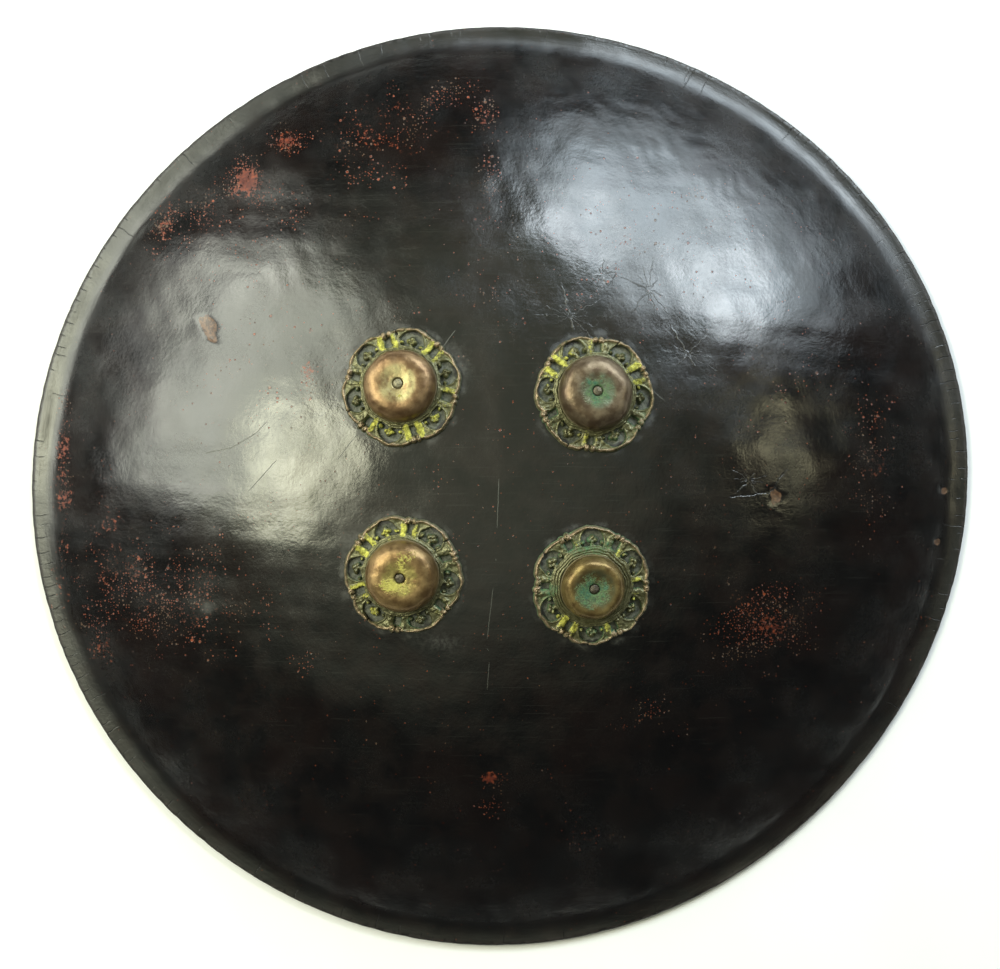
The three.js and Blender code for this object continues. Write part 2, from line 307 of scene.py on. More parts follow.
# Thin lines from a distance across and a share along each: cracks and scratches of a finish.
def makeLineGroup():
    tree, s, given, out = newGroup("thinLine", [
        ("Across", "value", 9.0), ("Along", "value", 0.0), ("Waver", "value", 0.0), ("Width", "value", 0.4)],
        [("Mask", "value")])
    away = s.math("ABSOLUTE", s.plus(given["Across"], given["Waver"]))
    ends = s.times(s.levels(given["Along"], -0.02, 0.12), s.levels(given["Along"], 1.02, 0.88))
    wide = s.times(given["Width"], s.levels(ends, 0.0, 1.0, 0.3, 1.0, smooth=False))
    s.feed(out["Mask"], s.times(s.levels(away, wide, s.times(wide, 0.3)), s.levels(ends, 0.0, 0.1)))
    return tree


# Fine cracks running out from one point and thinning away.
def makeStarGroup():
    tree, s, given, out = newGroup("starMark", [
        ("Offset", "vector", (0, 0, 0)), ("Reach", "value", 12.0), ("Seed", "value", 0.0)],
        [("Mask", "value")])
    x, y, _ = s.split(given["Offset"])
    away = s.vector("LENGTH", given["Offset"])
    heading = s.plus(s.math("ARCTAN2", y, x), given["Seed"])
    uneven = s.plus(heading, s.times(s.math("SINE", s.times(heading, 2.0)), 0.35))
    arm = s.math("ABSOLUTE", s.math("SINE", s.times(uneven, 5.0)))
    reach = s.times(given["Reach"], s.levels(s.math("SINE", s.times(heading, 5.0)), -1.0, 1.0, 0.45, 1.0))
    across = s.times(arm, away, 0.2)
    thin = s.levels(across, 0.36, 0.12)
    s.feed(out["Mask"], s.times(thin, s.levels(away, reach, s.times(reach, 0.4)),
                               s.levels(away, 0.0, 4.0, 0.15, 1.0)))
    return tree


# Round pits where the skin of a finish has popped off, each cell holding one or none.
def makePitGroup():
    tree, s, given, out = newGroup("poppedPits", [
        ("Place", "vector", (0, 0, 0)), ("Spacing", "value", 3.0), ("Share", "value", 0.3),
        ("Size", "value", 0.35)],
        [("Mask", "value"), ("Rim", "value"), ("Shade", "value")])
    cells = s.voronoi(given["Place"], s.math("DIVIDE", 1.0, given["Spacing"]))
    pick, size, shade = s.split(cells.outputs["Color"])
    away = cells.outputs["Distance"]
    reach = s.times(given["Size"], s.levels(size, 0.0, 1.0, 0.45, 1.2, smooth=False))
    present = s.levels(pick, given["Share"], s.math("SUBTRACT", given["Share"], 0.03))
    s.feed(out["Mask"], s.times(present, s.levels(away, reach, s.times(reach, 0.7))))
    s.feed(out["Rim"], s.times(present, s.levels(away, s.times(reach, 1.45), reach),
                               s.levels(away, s.times(reach, 0.7), reach)))
    s.feed(out["Shade"], shade)
    return tree


# Hair-fine rubbing scratches in three headings.
def makeScuffGroup():
    tree, s, given, out = newGroup("rubbedScuffs", [
        ("Place", "vector", (0, 0, 0)), ("Scale", "value", 1.0), ("Amount", "value", 0.5)],
        [("Mask", "value")])
    masks = []
    for heading, low in ((0.4, 0.0), (1.5, 7.0), (2.5, 13.0)):
        turned = s.put("ShaderNodeMapping", {
            "Vector": given["Place"], "Location": (low, low, 0), "Rotation": (0, 0, heading),
            "Scale": (0.035, 1.3, 0.4)}).outputs[0]
        lines = s.noise(turned, given["Scale"], 1.0, 0.5)
        masks.append(s.levels(lines, s.levels(given["Amount"], 0.0, 1.0, 0.78, 0.60), 0.80))
    s.feed(out["Mask"], s.most(*masks))
    return tree


# Green corrosion and pale yellow polish residue in the hollows of a copper alloy.
def makePatinaGroup():
    tree, s, given, out = newGroup("copperPatina", [
        ("Place", "vector", (0, 0, 0)), ("Hollow", "value", 0.0), ("Green", "value", 0.5),
        ("Residue", "value", 0.5)],
        [("Green Mask", "value"), ("Green Colour", "colour"), ("Residue Mask", "value"), ("Lumps", "value")])
    coarse = s.noise(given["Place"], 0.22, 3.0, 0.6, solid=True)
    grain = s.noise(given["Place"], 1.1, 3.0, 0.65, solid=True)
    spread = s.plus(s.times(given["Hollow"], 0.35), s.plus(s.times(coarse, 0.55), s.times(grain, 0.35)))
    green = s.levels(s.plus(spread, s.times(given["Green"], 0.62)), 0.86, 1.12)
    tint = s.mix(s.levels(grain, 0.35, 0.65), (0.026, 0.052, 0.024), (0.080, 0.140, 0.052))
    tint = s.mix(s.times(s.levels(coarse, 0.52, 0.7), 0.7), tint, (0.028, 0.105, 0.062))
    lumps = s.noise(given["Place"], 0.75, 2.0, 0.6, solid=True)
    grained = s.plus(s.times(lumps, 0.5), s.times(grain, 0.45))
    residue = s.levels(s.plus(grained, s.times(given["Residue"], 0.4)), 0.66, 0.84)
    s.feed(out["Green Mask"], green)
    s.feed(out["Green Colour"], tint)
    s.feed(out["Residue Mask"], residue)
    s.feed(out["Lumps"], s.plus(s.times(grain, 0.6), s.times(lumps, 0.5)))
    return tree


thinLine = makeLineGroup()
starMark = makeStarGroup()
poppedPits = makePitGroup()
rubbedScuffs = makeScuffGroup()
copperPatina = makePatinaGroup()


lacquer = {
    "black": (0.0012, 0.0010, 0.0009), "brown": (0.0048, 0.0031, 0.0025), "warm": (0.0066, 0.0030, 0.0022),
    "red": (0.080, 0.011, 0.004), "orange": (0.24, 0.044, 0.009), "bare": (0.085, 0.042, 0.020),
    "dust": (0.040, 0.040, 0.034), "gloss": 0.19, "dull": 0.275,
    # x, y, half width, half height, strength of the speckled loss
    "speckled": [
        (-133, 158, 12, 13, 1.0), (-111, 181, 9, 8, 0.9), (-178, 139, 10, 16, 0.6), (-33, 204, 26, 12, 0.55),
        (-73, 183, 16, 14, 0.5), (-44, 187, 13, 12, 0.5), (-68, 163, 14, 10, 0.55), (-53, 161, 8, 9, 0.5),
        (-111, 143, 13, 12, 0.5), (-153, 141, 16, 12, 0.55), (-72, 136, 12, 9, 0.45), (-125, 120, 14, 9, 0.4),
        (-165, 122, 10, 14, 0.5), (-97, 52, 5, 12, 0.55), (-8, 192, 7, 16, 0.8), (-5, 154, 8, 22, 0.55),
        (-8, 99, 7, 14, 0.5), (-176, -59, 52, 28, 0.62), (136, -71, 23, 18, 1.0), (195, 18, 13, 36, 0.5),
        (82, -120, 15, 10, 0.5), (-5, -151, 7, 6, 0.7), (-3, -166, 10, 7, 0.4), (47, -184, 16, 10, 0.35),
        (-102, -89, 10, 8, 0.45), (-212, -87, 9, 6, 0.8), (-231, 3, 5, 42, 0.5), (80, 130, 80, 40, 0.26),
        (-120, 60, 70, 70, 0.22), (150, 60, 50, 40, 0.22), (0, 0, 230, 230, 0.15),
    ],
    # the same for red showing through in smears
    "reddened": [
        (-133, 158, 9, 9, 1.0), (-111, 181, 6, 6, 0.8), (-97, 52, 3, 9, 0.9), (-212, -87, 6, 4, 0.8),
        (-5, -151, 5, 3, 0.8), (-8, 192, 5, 8, 0.6), (-150, 30, 16, 50, 0.18), (-176, -59, 45, 22, 0.34),
        (136, -71, 20, 15, 0.45), (-178, 139, 7, 12, 0.6), (-60, 185, 30, 18, 0.42), (-153, 141, 14, 9, 0.42),
        (-231, 3, 5, 40, 0.6), (-205, -30, 12, 40, 0.4), (195, 18, 9, 34, 0.35), (-5, 154, 5, 20, 0.4),
        (225, -60, 8, 60, 0.25), (-233, -40, 5, 60, 0.35),
    ],
    # straight runs of cracks and scratches: x0, y0, x1, y1, width
    "cracks": [
        (117, -6, 128, -5.5, 0.5), (128, -5.5, 139, -3.5, 0.7), (141, -2, 143, 3, 0.6),
        (143, 3, 148, 8, 0.45), (98, 211, 105, 222, 0.5),
    ],
    "scratches": [
        (-151, 16, -136, 19, 0.45), (-136, 19, -124, 26, 0.5), (-124, 26, -118, 32, 0.4),
        (-128, -4, -113, 12.5, 0.4), (0, 3, -1, -22, 0.3), (-3, -52, -6, -78, 0.25),
        (-5, -90, -6, -104, 0.25), (-22, 78, -31, 66, 0.3), (20, -66, 44, -84, 0.3),
        (-60, 40, -82, 12, 0.3), (64, 60, 84, 42, 0.35),
    ],
    # fine cracks running out from a point: x, y, reach
    "stars": [(76, 100.4, 20), (35.5, 86, 20), (95.5, 67, 19), (52, 108, 9), (127, 3, 12)],
}


# For each point, the signed distance across its nearest run and its share along that run.
def nearestRun(x, y, runs):
    best = np.full(len(x), 1e9)
    across, along = np.full(len(x), 99.0), np.zeros(len(x))
    for x0, y0, x1, y1, width in runs:
        length = math.hypot(x1 - x0, y1 - y0)
        ux, uy = (x1 - x0) / length, (y1 - y0) / length
        run = (x - x0) * ux + (y - y0) * uy
        side = ((y - y0) * ux - (x - x0) * uy) / width
        away = np.hypot(side * width, run - np.clip(run, 0, length))
        near = away < best
        best[near] = away[near]
        across[near] = side[near]
        along[near] = (run / length)[near]
    return across, along


def makeLacquer():
    material, s, surface = newMaterial("wornLacquer")
    place = s.place()
    x, y, _ = s.split(place)
    plan = s.join(x, y, 0.0)
    reach = s.vector("LENGTH", plan)
    speckle, red, grime = s.tag("speckle"), s.tag("redness"), s.tag("grime")
    edge, chip, polish, lip = s.tag("edge"), s.tag("chip"), s.tag("polish"), s.tag("lip")

    # pits of three sizes, thick where the lacquer is failing
    big = s.group(poppedPits, Place=plan, Spacing=4.2, Size=0.19,
                  Share=s.levels(speckle, 0.05, 1.0, 0.0, 0.32))
    mid = s.group(poppedPits, Place=s.vector("ADD", plan, (31, 17, 0)), Spacing=2.5,
                  Share=s.levels(speckle, 0.07, 1.0, 0.014, 0.62), Size=0.18)
    small = s.group(poppedPits, Place=s.vector("ADD", plan, (7, 53, 0)), Spacing=1.5,
                    Share=s.levels(speckle, 0.10, 0.9, 0.02, 0.72), Size=0.23)
    relievedPits = s.most(big["Mask"], mid["Mask"])
    pits = s.most(relievedPits, s.times(small["Mask"], 0.85))
    pitRims = s.most(big["Rim"], mid["Rim"])

    cloud = s.noise(plan, 0.055, 4.0, 0.62)
    flecks = s.noise(plan, 0.42, 4.0, 0.7)
    smear = s.times(s.levels(s.plus(s.times(flecks, 0.95), s.times(red, 0.36)), 0.70, 0.84),
                    s.levels(red, 0.05, 0.5))

    shake = s.put("ShaderNodeTexNoise", {"Vector": plan, "Scale": 0.3, "Detail": 2.0}, noise_dimensions="2D")
    push = s.vector("SUBTRACT", shake.outputs["Color"], (0.5, 0.5, 0.5))
    shaken = s.vector("MULTIPLY", s.vector("ADD", plan, s.vector("SCALE", push, scale=2.6)), (1, 1, 0))

    waver = s.times(s.math("SUBTRACT", s.split(shake.outputs["Color"])[0], 0.5), 3.0)
    crack = s.group(thinLine, Across=s.tag("crackAcross"), Along=s.tag("crackAlong"), Waver=waver,
                    Width=1.0)["Mask"]
    scratch = s.group(thinLine, Across=s.tag("scratchAcross"), Along=s.tag("scratchAlong"),
                      Waver=s.times(waver, 0.5), Width=1.0)["Mask"]
    starPlace = s.join(s.tag("starX"), s.tag("starY"), 0.0)
    star = s.group(starMark, Offset=s.vector("SUBTRACT", shaken, starPlace), Reach=s.tag("starReach"),
                   Seed=s.times(s.tag("starX"), 0.1))["Mask"]
    web = s.voronoi(s.vector("ADD", shaken, s.vector("SCALE", shake.outputs["Color"], scale=3.0)), 0.24,
                    "DISTANCE_TO_EDGE").outputs["Distance"]
    craze = s.times(s.levels(web, 0.05, 0.012), s.tag("craze"), s.levels(cloud, 0.44, 0.56))

    # short splits across the lip, told by the heading from its middle
    heading = s.plus(s.times(s.math("ARCTAN2", x, y), 38.0),
                     s.times(s.math("SINE", s.times(reach, 0.9)), 0.03))
    split = s.put("ShaderNodeTexVoronoi", {"W": heading, "Scale": 1.0}, voronoi_dimensions="1D",
                  feature="DISTANCE_TO_EDGE").outputs["Distance"]
    cell = s.put("ShaderNodeTexVoronoi", {"W": heading, "Scale": 1.0}, voronoi_dimensions="1D")
    long = s.levels(reach, s.levels(cell.outputs["Distance"], 0.0, 0.5, 229, 243), 246.0)
    splits = s.times(s.levels(split, 0.045, 0.012), lip, long, s.levels(cloud, 0.40, 0.55))

    scuffs = s.group(rubbedScuffs, Place=plan, Scale=0.8, Amount=polish)["Mask"]

    colour = s.mix(s.levels(cloud, 0.38, 0.68), lacquer["black"], lacquer["brown"])
    colour = s.mix(s.times(s.levels(s.noise(plan, 0.02, 2.0), 0.45, 0.7), 0.5), colour, lacquer["warm"])
    rubbed = s.mix(s.levels(flecks, 0.5, 0.75), lacquer["red"], lacquer["orange"])
    colour = s.mix(s.times(smear, 0.9), colour, rubbed)
    pitColour = s.mix(mid["Shade"], lacquer["red"], lacquer["orange"])
    pitColour = s.mix(s.levels(cloud, 0.5, 0.62), pitColour, lacquer["bare"])
    colour = s.mix(s.times(pits, 0.92), colour, pitColour)
    colour = s.mix(s.times(pitRims, 0.35), colour, (0.012, 0.008, 0.006))
    colour = s.mix(s.times(grime, s.levels(flecks, 0.42, 0.62), 0.8), colour, lacquer["dust"])
    silt = s.mix(s.levels(flecks, 0.35, 0.65), (0.035, 0.038, 0.026), (0.12, 0.125, 0.095))
    colour = s.mix(s.levels(grime, 1.1, 1.5), colour, silt)
    colour = s.mix(s.times(scuffs, 0.16), colour, lacquer["dust"])
    colour = s.mix(s.times(scratch, 0.8), colour, (0.06, 0.06, 0.05))
    colour = s.mix(s.times(s.most(star, s.times(craze, 0.3)), 0.35), colour, (0.045, 0.043, 0.036))
    broken = s.levels(chip, 0.35, -0.25)
    raw = s.mix(s.levels(flecks, 0.42, 0.6), (0.05, 0.024, 0.012), (0.12, 0.062, 0.032))
    colour = s.mix(broken, colour, raw)
    edgeWorn = s.times(s.levels(edge, 0.35, 1.0), s.levels(flecks, 0.38, 0.6))
    colour = s.mix(s.times(edgeWorn, 0.8), colour, (0.014, 0.008, 0.006))
    colour = s.mix(s.most(crack, splits), colour, (0.0008, 0.0006, 0.0005))
    s.feed(surface.inputs["Base Color"], colour)

    patchy = s.levels(s.noise(plan, 0.035, 2.0, 0.5), 0.32, 0.68)
    rough = s.levels(patchy, 0.0, 1.0, lacquer["gloss"], lacquer["dull"], smooth=False)
    rough = s.plus(rough, s.times(s.math("SUBTRACT", flecks, 0.5), 0.10))
    rough = s.plus(rough, s.times(s.most(pits, smear), 0.14))
    rough = s.plus(rough, s.times(s.most(scratch, s.times(craze, 0.35), s.times(star, 0.4)), 0.25))
    rough = s.plus(rough, s.times(s.most(edgeWorn, grime, s.times(broken, 0.5)), 0.3))
    rough = s.plus(rough, s.times(lip, 0.12))
    s.feed(surface.inputs["Roughness"], rough)
    surface.inputs["IOR"].default_value = 1.62

    # relief: brush-like streaks and grain, then the marks
    drawn = s.join(s.times(reach, 0.45), s.times(x, 0.05), s.times(y, 0.05))
    streak = s.noise(drawn, 1.0, 2.0, 0.6, solid=True)
    height = s.times(streak, s.levels(lip, 0.0, 1.0, 0.030, 0.10))
    height = s.plus(height, s.times(s.noise(plan, 0.42, 3.0, 0.62), 0.075))
    height = s.plus(height, s.times(star, 0.16))
    height = s.plus(height, s.times(s.math("SUBTRACT", s.times(pitRims, 0.3), relievedPits), 0.07))
    height = s.math("SUBTRACT", height, s.most(s.times(splits, 0.25), s.times(crack, 0.14)))
    s.feed(surface.inputs["Normal"], s.bump(height, 0.001))
    return material


# The plainer inside: brown-black, brushed on thinly over the flesh side of the hide.
def makeHideBack():
    material, s, surface = newMaterial("brushedHideBack")
    place = s.place()
    cloud = s.noise(place, 0.02, 5.0, 0.6)
    fibre = s.noise(s.put("ShaderNodeMapping", {"Vector": place, "Rotation": (0, 0, 0.5),
                                                "Scale": (0.12, 1.0, 1.0)}).outputs[0], 0.55, 4.0, 0.6)
    pits = s.group(poppedPits, Place=place, Spacing=3.4, Share=0.10, Size=0.3)["Mask"]
    colour = s.mix(s.levels(cloud, 0.35, 0.65), (0.020, 0.012, 0.008), (0.050, 0.026, 0.014))
    colour = s.mix(s.times(s.levels(fibre, 0.5, 0.75), 0.55), colour, (0.095, 0.052, 0.028))
    colour = s.mix(pits, colour, (0.12, 0.06, 0.03))
    s.feed(surface.inputs["Base Color"], colour)
    s.feed(surface.inputs["Roughness"], s.levels(fibre, 0.3, 0.7, 0.42, 0.68))
    height = s.plus(s.times(fibre, 0.25), s.times(s.noise(place, 0.12, 3.0), 0.5))
    s.feed(surface.inputs["Normal"], s.bump(s.math("SUBTRACT", height, s.times(pits, 0.1)), 0.001, 0.7))
    return material


# Rings of points joined into one closed skin; a ring may hold half or twice as many as the last.
def stitchRings(counts):
    starts = np.concatenate([[0], np.cumsum(counts)[:-1]])
    quads, triangles, ringOf = [], [], {"quads": [], "triangles": []}
    for i in range(len(counts) - 1):
        a, b, n, m = starts[i], starts[i + 1], counts[i], counts[i + 1]
        k = np.arange(min(n, m))
        after = (k + 1) % len(k)
        if n == m:
            quads.append(np.stack([a + k, b + k, b + after, a + after], 1))
            ringOf["quads"].append(np.full(n, i))
        elif m == 2 * n:
            parts = [(a + k, b + 2 * k, b + 2 * k + 1), (a + k, b + 2 * k + 1, a + after),
                     (a + after, b + 2 * k + 1, b + 2 * after)]
            triangles.append(np.concatenate([np.stack(p, 1) for p in parts]))
            ringOf["triangles"].append(np.full(3 * n, i))
        else:
            parts = [(b + k, a + 2 * k + 1, a + 2 * k), (b + k, b + after, a + 2 * k + 1),
                     (b + after, a + 2 * after, a + 2 * k + 1)]
            triangles.append(np.concatenate([np.stack(p, 1) for p in parts]))
            ringOf["triangles"].append(np.full(3 * m, i))
    return (np.concatenate(quads), np.concatenate(triangles),
            np.concatenate(ringOf["quads"]), np.concatenate(ringOf["triangles"]))


def buildHide():
    edge = dome["edgeRound"]
    outer = [(r, 64) for r in np.arange(1, 16, 2.0)] + [(r, 128) for r in np.arange(17, 36, 2.0)]
    outer += [(r, 256) for r in np.arange(37, 71, 2.0)] + [(r, 512) for r in np.arange(73, 141, 2.0)]
    outer += [(r, 1024) for r in np.linspace(142.5, dome["lipStart"], 40)]
    lip = list(np.linspace(dome["lipStart"], dome["radius"] - edge, 11)[1:])
    corner = [(dome["radius"] - edge + edge * math.sin(t), dome["lipTop"] - edge + edge * math.cos(t))
              for t in (0.45, 0.95, 1.5)]
    corner += [(dome["radius"] - edge + edge * math.cos(t), edge - edge * math.sin(t))
               for t in (0.3, 0.9, 1.5)]
    points, counts, kind = [], [], []

    def addRing(angles, x, y, z, what):
        points.append(np.stack([x + axisX, y + axisY, z], 1))
        counts.append(len(angles))
        kind.append(what)

    def ringAt(count):
        angles = np.arange(count) * tau / count
        return angles, outlineScale(angles)

    for radius, count in outer:
        angles, scale = ringAt(count)
        x, y = radius * scale * np.cos(angles), radius * scale * np.sin(angles)
        push = hideDisplacement(x, y)
        slope = domeSlope(radius)
        level = math.sqrt(1 + slope * slope)
        side = -slope / level * push
        addRing(angles, x + side * np.cos(angles), y + side * np.sin(angles),
                domeHeight(radius) + push / level, 0)
    for radius in lip:
        angles, scale = ringAt(1024)
        x, y = radius * scale * np.cos(angles), radius * scale * np.sin(angles)
        uneven = 0.045 * ripples(x, y, 16, 31) * smoothStep(dome["radius"], dome["radius"] - 7, radius)
        addRing(angles, x, y, lipHeight(radius, angles % tau) + hideDisplacement(x, y) + uneven, 0)
    nick = 0.08 * ripples(*[dome["radius"] * f(ringAt(1024)[0]) for f in (np.cos, np.sin)], 9, 32)
    for radius, height in corner:
        angles, scale = ringAt(1024)
        reach = (radius + np.minimum(nick, 0.05)) * scale
        addRing(angles, reach * np.cos(angles), reach * np.sin(angles), np.full(1024, height), 0)
    for radius, count in ((dome["radius"] - edge - 2, 512), (dome["radius"] - edge - dome["lipFoot"], 256)):
        angles, scale = ringAt(count)
        addRing(angles, radius * scale * np.cos(angles), radius * scale * np.sin(angles), np.zeros(count), 1)
    inner = [(r, 256) for r in np.arange(234, 70, -6.0)] + [(r, 128) for r in np.arange(66, 14, -6.0)]
    inner += [(10.0, 64), (5.0, 64), (1.5, 64)]
    for radius, count in inner:
        angles, scale = ringAt(count)
        thickness = lerp(dome["thickness"], dome["rimThickness"], radius / dome["lipStart"])
        tilt = math.atan(domeSlope(radius))
        near = radius + thickness * math.sin(tilt)
        x, y = near * scale * np.cos(angles), near * scale * np.sin(angles)
        calm = float(smoothStep(238, 215, radius))
        sag = calm * (0.30 * ripples(x, y, 95, 11) + 0.2 * ripples(x, y, 24, 33) - 0.25)
        addRing(angles, x, y, domeHeight(radius) - thickness * math.cos(tilt) + sag, 1)
    quads, triangles, quadRing, triangleRing = stitchRings(counts)
    starts = np.concatenate([[0], np.cumsum(counts)[:-1]])
    allPoints = np.concatenate(points)
    top = [axisX, axisY, domeHeight(0) + float(hideDisplacement(np.zeros(1), np.zeros(1))[0])]
    bottom = [axisX, axisY, float(np.mean(points[-1][:, 2]))]
    allPoints = np.concatenate([allPoints, [top, bottom]])
    topIndex, bottomIndex = len(allPoints) - 2, len(allPoints) - 1
    k = np.arange(64)
    after = (k + 1) % 64
    fans = np.concatenate([np.stack([np.full(64, topIndex), k, after], 1),
                           np.stack([np.full(64, bottomIndex), starts[-1] + after, starts[-1] + k], 1)])
    triangles = np.concatenate([triangles, fans])
    insideFrom = kind.index(1)
    faceMaterial = np.concatenate([quadRing >= insideFrom, triangleRing >= insideFrom,
                                   np.repeat([0, 1], 64)]).astype(int)

    x, y = allPoints[:, 0] - axisX, allPoints[:, 1] - axisY
    radius = np.hypot(x, y) / outlineScale(np.arctan2(y, x))
    outside = np.concatenate([np.full(c, 1.0 - kd) for c, kd in zip(counts, kind)] + [[1.0, 0.0]])
    waver = 1 + 0.35 * ripples(x, y, 26, 41)
    speckle = patchField(x, y, lacquer["speckled"]) * waver
    redness = patchField(x, y, lacquer["reddened"]) * (1 + 0.3 * ripples(x, y, 17, 42))
    grime = np.zeros(len(x))
    for name in sides:
        low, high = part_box("rosette_" + name)
        cx, cy = 500 * (low.x + high.x), 500 * (low.y + high.y)
        near = np.hypot(allPoints[:, 0] - cx, allPoints[:, 1] - cy)
        halo = np.exp(-((near - 31.0) / 1.5) ** 2) * (0.30 + 0.45 * ripples(x, y, 11, 43 + sides.index(name)))
        grime = np.maximum(grime, np.maximum(halo, 1.55 * smoothStep(28.6, 27.6, near)))
    grime = np.maximum(grime, patchField(allPoints[:, 0], allPoints[:, 1], [
        (-26, 66, 6, 5, 0.9), (-20, 60, 4, 6, 0.8), (-72, -28, 5, 4, 0.7), (-30, -79, 8, 3, 0.8),
        (-151, -63, 2.5, 2, 1)]))
    craze = patchField(x, y, [(12, 74, 16, 12, 1.0), (60, 92, 46, 24, 0.9), (105, 85, 30, 24, 0.6),
                              (-85, 20, 26, 30, 0.35)])
    polish = patchField(x, y, [(80, 120, 90, 60, 1.0), (-120, 45, 80, 80, 0.9), (0, 0, 120, 120, 0.4)])
    plug = np.min([np.hypot(x - px, y - py) - 1.9 for px, py in hideRelief["plugs"]], axis=0)
    crackAcross, crackAlong = nearestRun(x, y, lacquer["cracks"])
    scratchAcross, scratchAlong = nearestRun(x, y, lacquer["scratches"])
    stars = np.array(lacquer["stars"])
    past = np.hypot(x[:, None] - stars[:, 0], y[:, None] - stars[:, 1]) - stars[:, 2]
    nearest = stars[np.argmin(past, axis=1)]
    tags = {
        "crackAcross": crackAcross, "crackAlong": crackAlong,
        "scratchAcross": scratchAcross, "scratchAlong": scratchAlong,
        "starX": nearest[:, 0], "starY": nearest[:, 1], "starReach": nearest[:, 2],
        "speckle": np.clip(speckle, 0, 1.2), "redness": np.clip(redness, 0, 1.2),
        "grime": np.clip(grime, 0, 1.6), "craze": craze, "polish": polish,
        "chip": np.minimum(chipDistance(x, y), plug),
        "lip": smoothStep(0.93, 0.965, radius / dome["radius"]) * outside,
        "edge": smoothStep(dome["radius"] - 3.2, dome["radius"] - 1.0, radius),
    }
    piece = meshPiece("lacquered_dome", allPoints, [quads, triangles], tags,
                      [makeLacquer(), makeHideBack()], faceMaterial)
    settle(piece, "hide_disc")
    return piece


buildHide()
print("hide built")


# slip is from its corner of a 96 mm square and turn is the rosette's; patches are x, y, half sizes,
# strength from the boss's middle. green and gold belong to the rosette, the rest to the cap.
bosses = {
    "upper_left": {
        "side": (-1, 1), "slip": (-1.3, 1.1), "turn": 17, "radius": 18.2, "dish": 10, "dishDepth": 0.7,
        "green": [(-22, -8, 7, 8, 0.55), (-14, -21, 8, 6, 0.7), (22, 4, 6, 9, 0.55), (4, 20, 14, 3, 0.5)],
        "gold": [(-9, 22, 14, 6, 0.8), (15, 18, 7, 7, 0.75), (24, -2, 5, 8, 0.6), (6, -22, 16, 6, 0.9),
                 (-10, -20, 8, 6, 0.8), (20, -14, 8, 6, 0.7), (-20, 4, 6, 6, 0.5)],
        "capGreen": [(0, 19, 12, 2.6, 0.75), (-4, -7, 4, 3, 0.34)], "capGold": [(1, -6, 5, 3, 0.5)],
        "copper": (0.26, 0.168, 0.085), "core": (0.36, 0.32, 0.16), "rivet": 0.6, "cracks": [-155, 96],
    },
    "upper_right": {
        "side": (1, 1), "slip": (0.1, -2.5), "turn": -5, "radius": 18.6, "dish": 9.5, "dishDepth": 1,
        "green": [(24, -16, 8, 8, 1.0), (12, -24, 12, 6, 0.8), (-22, -12, 7, 7, 0.8), (8, 20, 16, 5, 0.55),
                  (24, 2, 5, 8, 0.6), (-20, 4, 5, 6, 0.5)],
        "gold": [(-18, 18, 7, 6, 1.0), (-24, 10, 5, 5, 1.0), (21, 12, 6, 6, 0.75), (-6, -22, 8, 5, 0.6),
                 (-3, 24, 5, 5, 0.5), (22, 5, 5, 4, 0.8)],
        "capGreen": [(0, -0.5, 10.5, 9, 1.0), (-1, 8, 4, 6, 0.6), (6, -3, 5, 4, 0.7)], "capGold": [],
        "copper": (0.17, 0.128, 0.082), "core": (0.10, 0.13, 0.085), "rivet": 0.2, "cracks": [64, -118],
    },
    "lower_left": {
        "side": (-1, -1), "slip": (-0.3, 2.3), "turn": -9, "radius": 18.3, "dish": 9.5, "dishDepth": 0.6,
        "green": [(2, -25, 9, 5, 0.8), (18, -12, 7, 7, 0.65), (22, 4, 6, 8, 0.7), (14, 17, 6, 6, 0.6),
                  (-22, 1, 4, 6, 0.5)],
        "gold": [(-19, 13, 6, 5, 1.0), (-21, -7, 6, 4, 0.95), (0, 22, 9, 5, 0.85), (-15, 19, 5, 6, 0.8),
                 (-6, 20, 4, 5, 0.9), (-17, -19, 8, 7, 0.6), (17, -20, 6, 5, 0.4), (-5, -26, 6, 4, 0.4)],
        "capGreen": [(4, -7, 5, 4, 0.5), (-9, -8, 4, 4, 0.4)],
        "capGold": [(-4, -3.5, 7, 4, 1.0), (1, 6, 3, 8, 0.8), (5, 11, 4, 3, 0.7), (2, -6, 4, 3, 0.7)],
        "copper": (0.26, 0.172, 0.075), "core": (0.28, 0.24, 0.075), "rivet": 0.1, "cracks": [38, -128],
    },
    "lower_right": {
        "side": (1, -1), "slip": (-1.4, -3.1), "turn": 30, "radius": 16, "dish": 11, "dishDepth": 1.9,
        "green": [(0, 20, 26, 8, 0.95), (-21, -4, 9, 16, 0.9), (6, -23, 18, 6, 0.8), (22, -6, 7, 14, 0.6),
                  (0, 17, 14, 5, 0.9)],
        "gold": [(22, 2, 4, 4, 0.7), (22, -7, 4, 4, 0.7), (-15, -16, 5, 5, 0.9), (-9, -21, 5, 4, 0.8),
                 (12, 16, 6, 4, 0.6), (9, -21, 6, 3, 0.7), (-8, 22, 7, 4, 0.4)],
        "capGreen": [(-2, -1.5, 12.5, 11, 1.0)], "capGold": [],
        "copper": (0.22, 0.160, 0.060), "core": (0.050, 0.065, 0.040), "rivet": 0.05,
        "cracks": [-92, 146, -38],
    },
}


# Frame of a boss: its middle on the outer face, and unit vectors across, along and out.
def bossFrame(name):
    boss = bosses[name]
    x, y = (48 * boss["side"][k] + boss["slip"][k] for k in (0, 1))
    slopeX = float(surfaceHeight(x + 0.5, y) - surfaceHeight(x - 0.5, y))
    slopeY = float(surfaceHeight(x, y + 0.5) - surfaceHeight(x, y - 0.5))
    out = Vector((-slopeX, -slopeY, 1)).normalized()
    across = Vector((1, 0, slopeX)).normalized()
    return Vector((x, y, float(surfaceHeight(x, y)))), across, out.cross(across), out


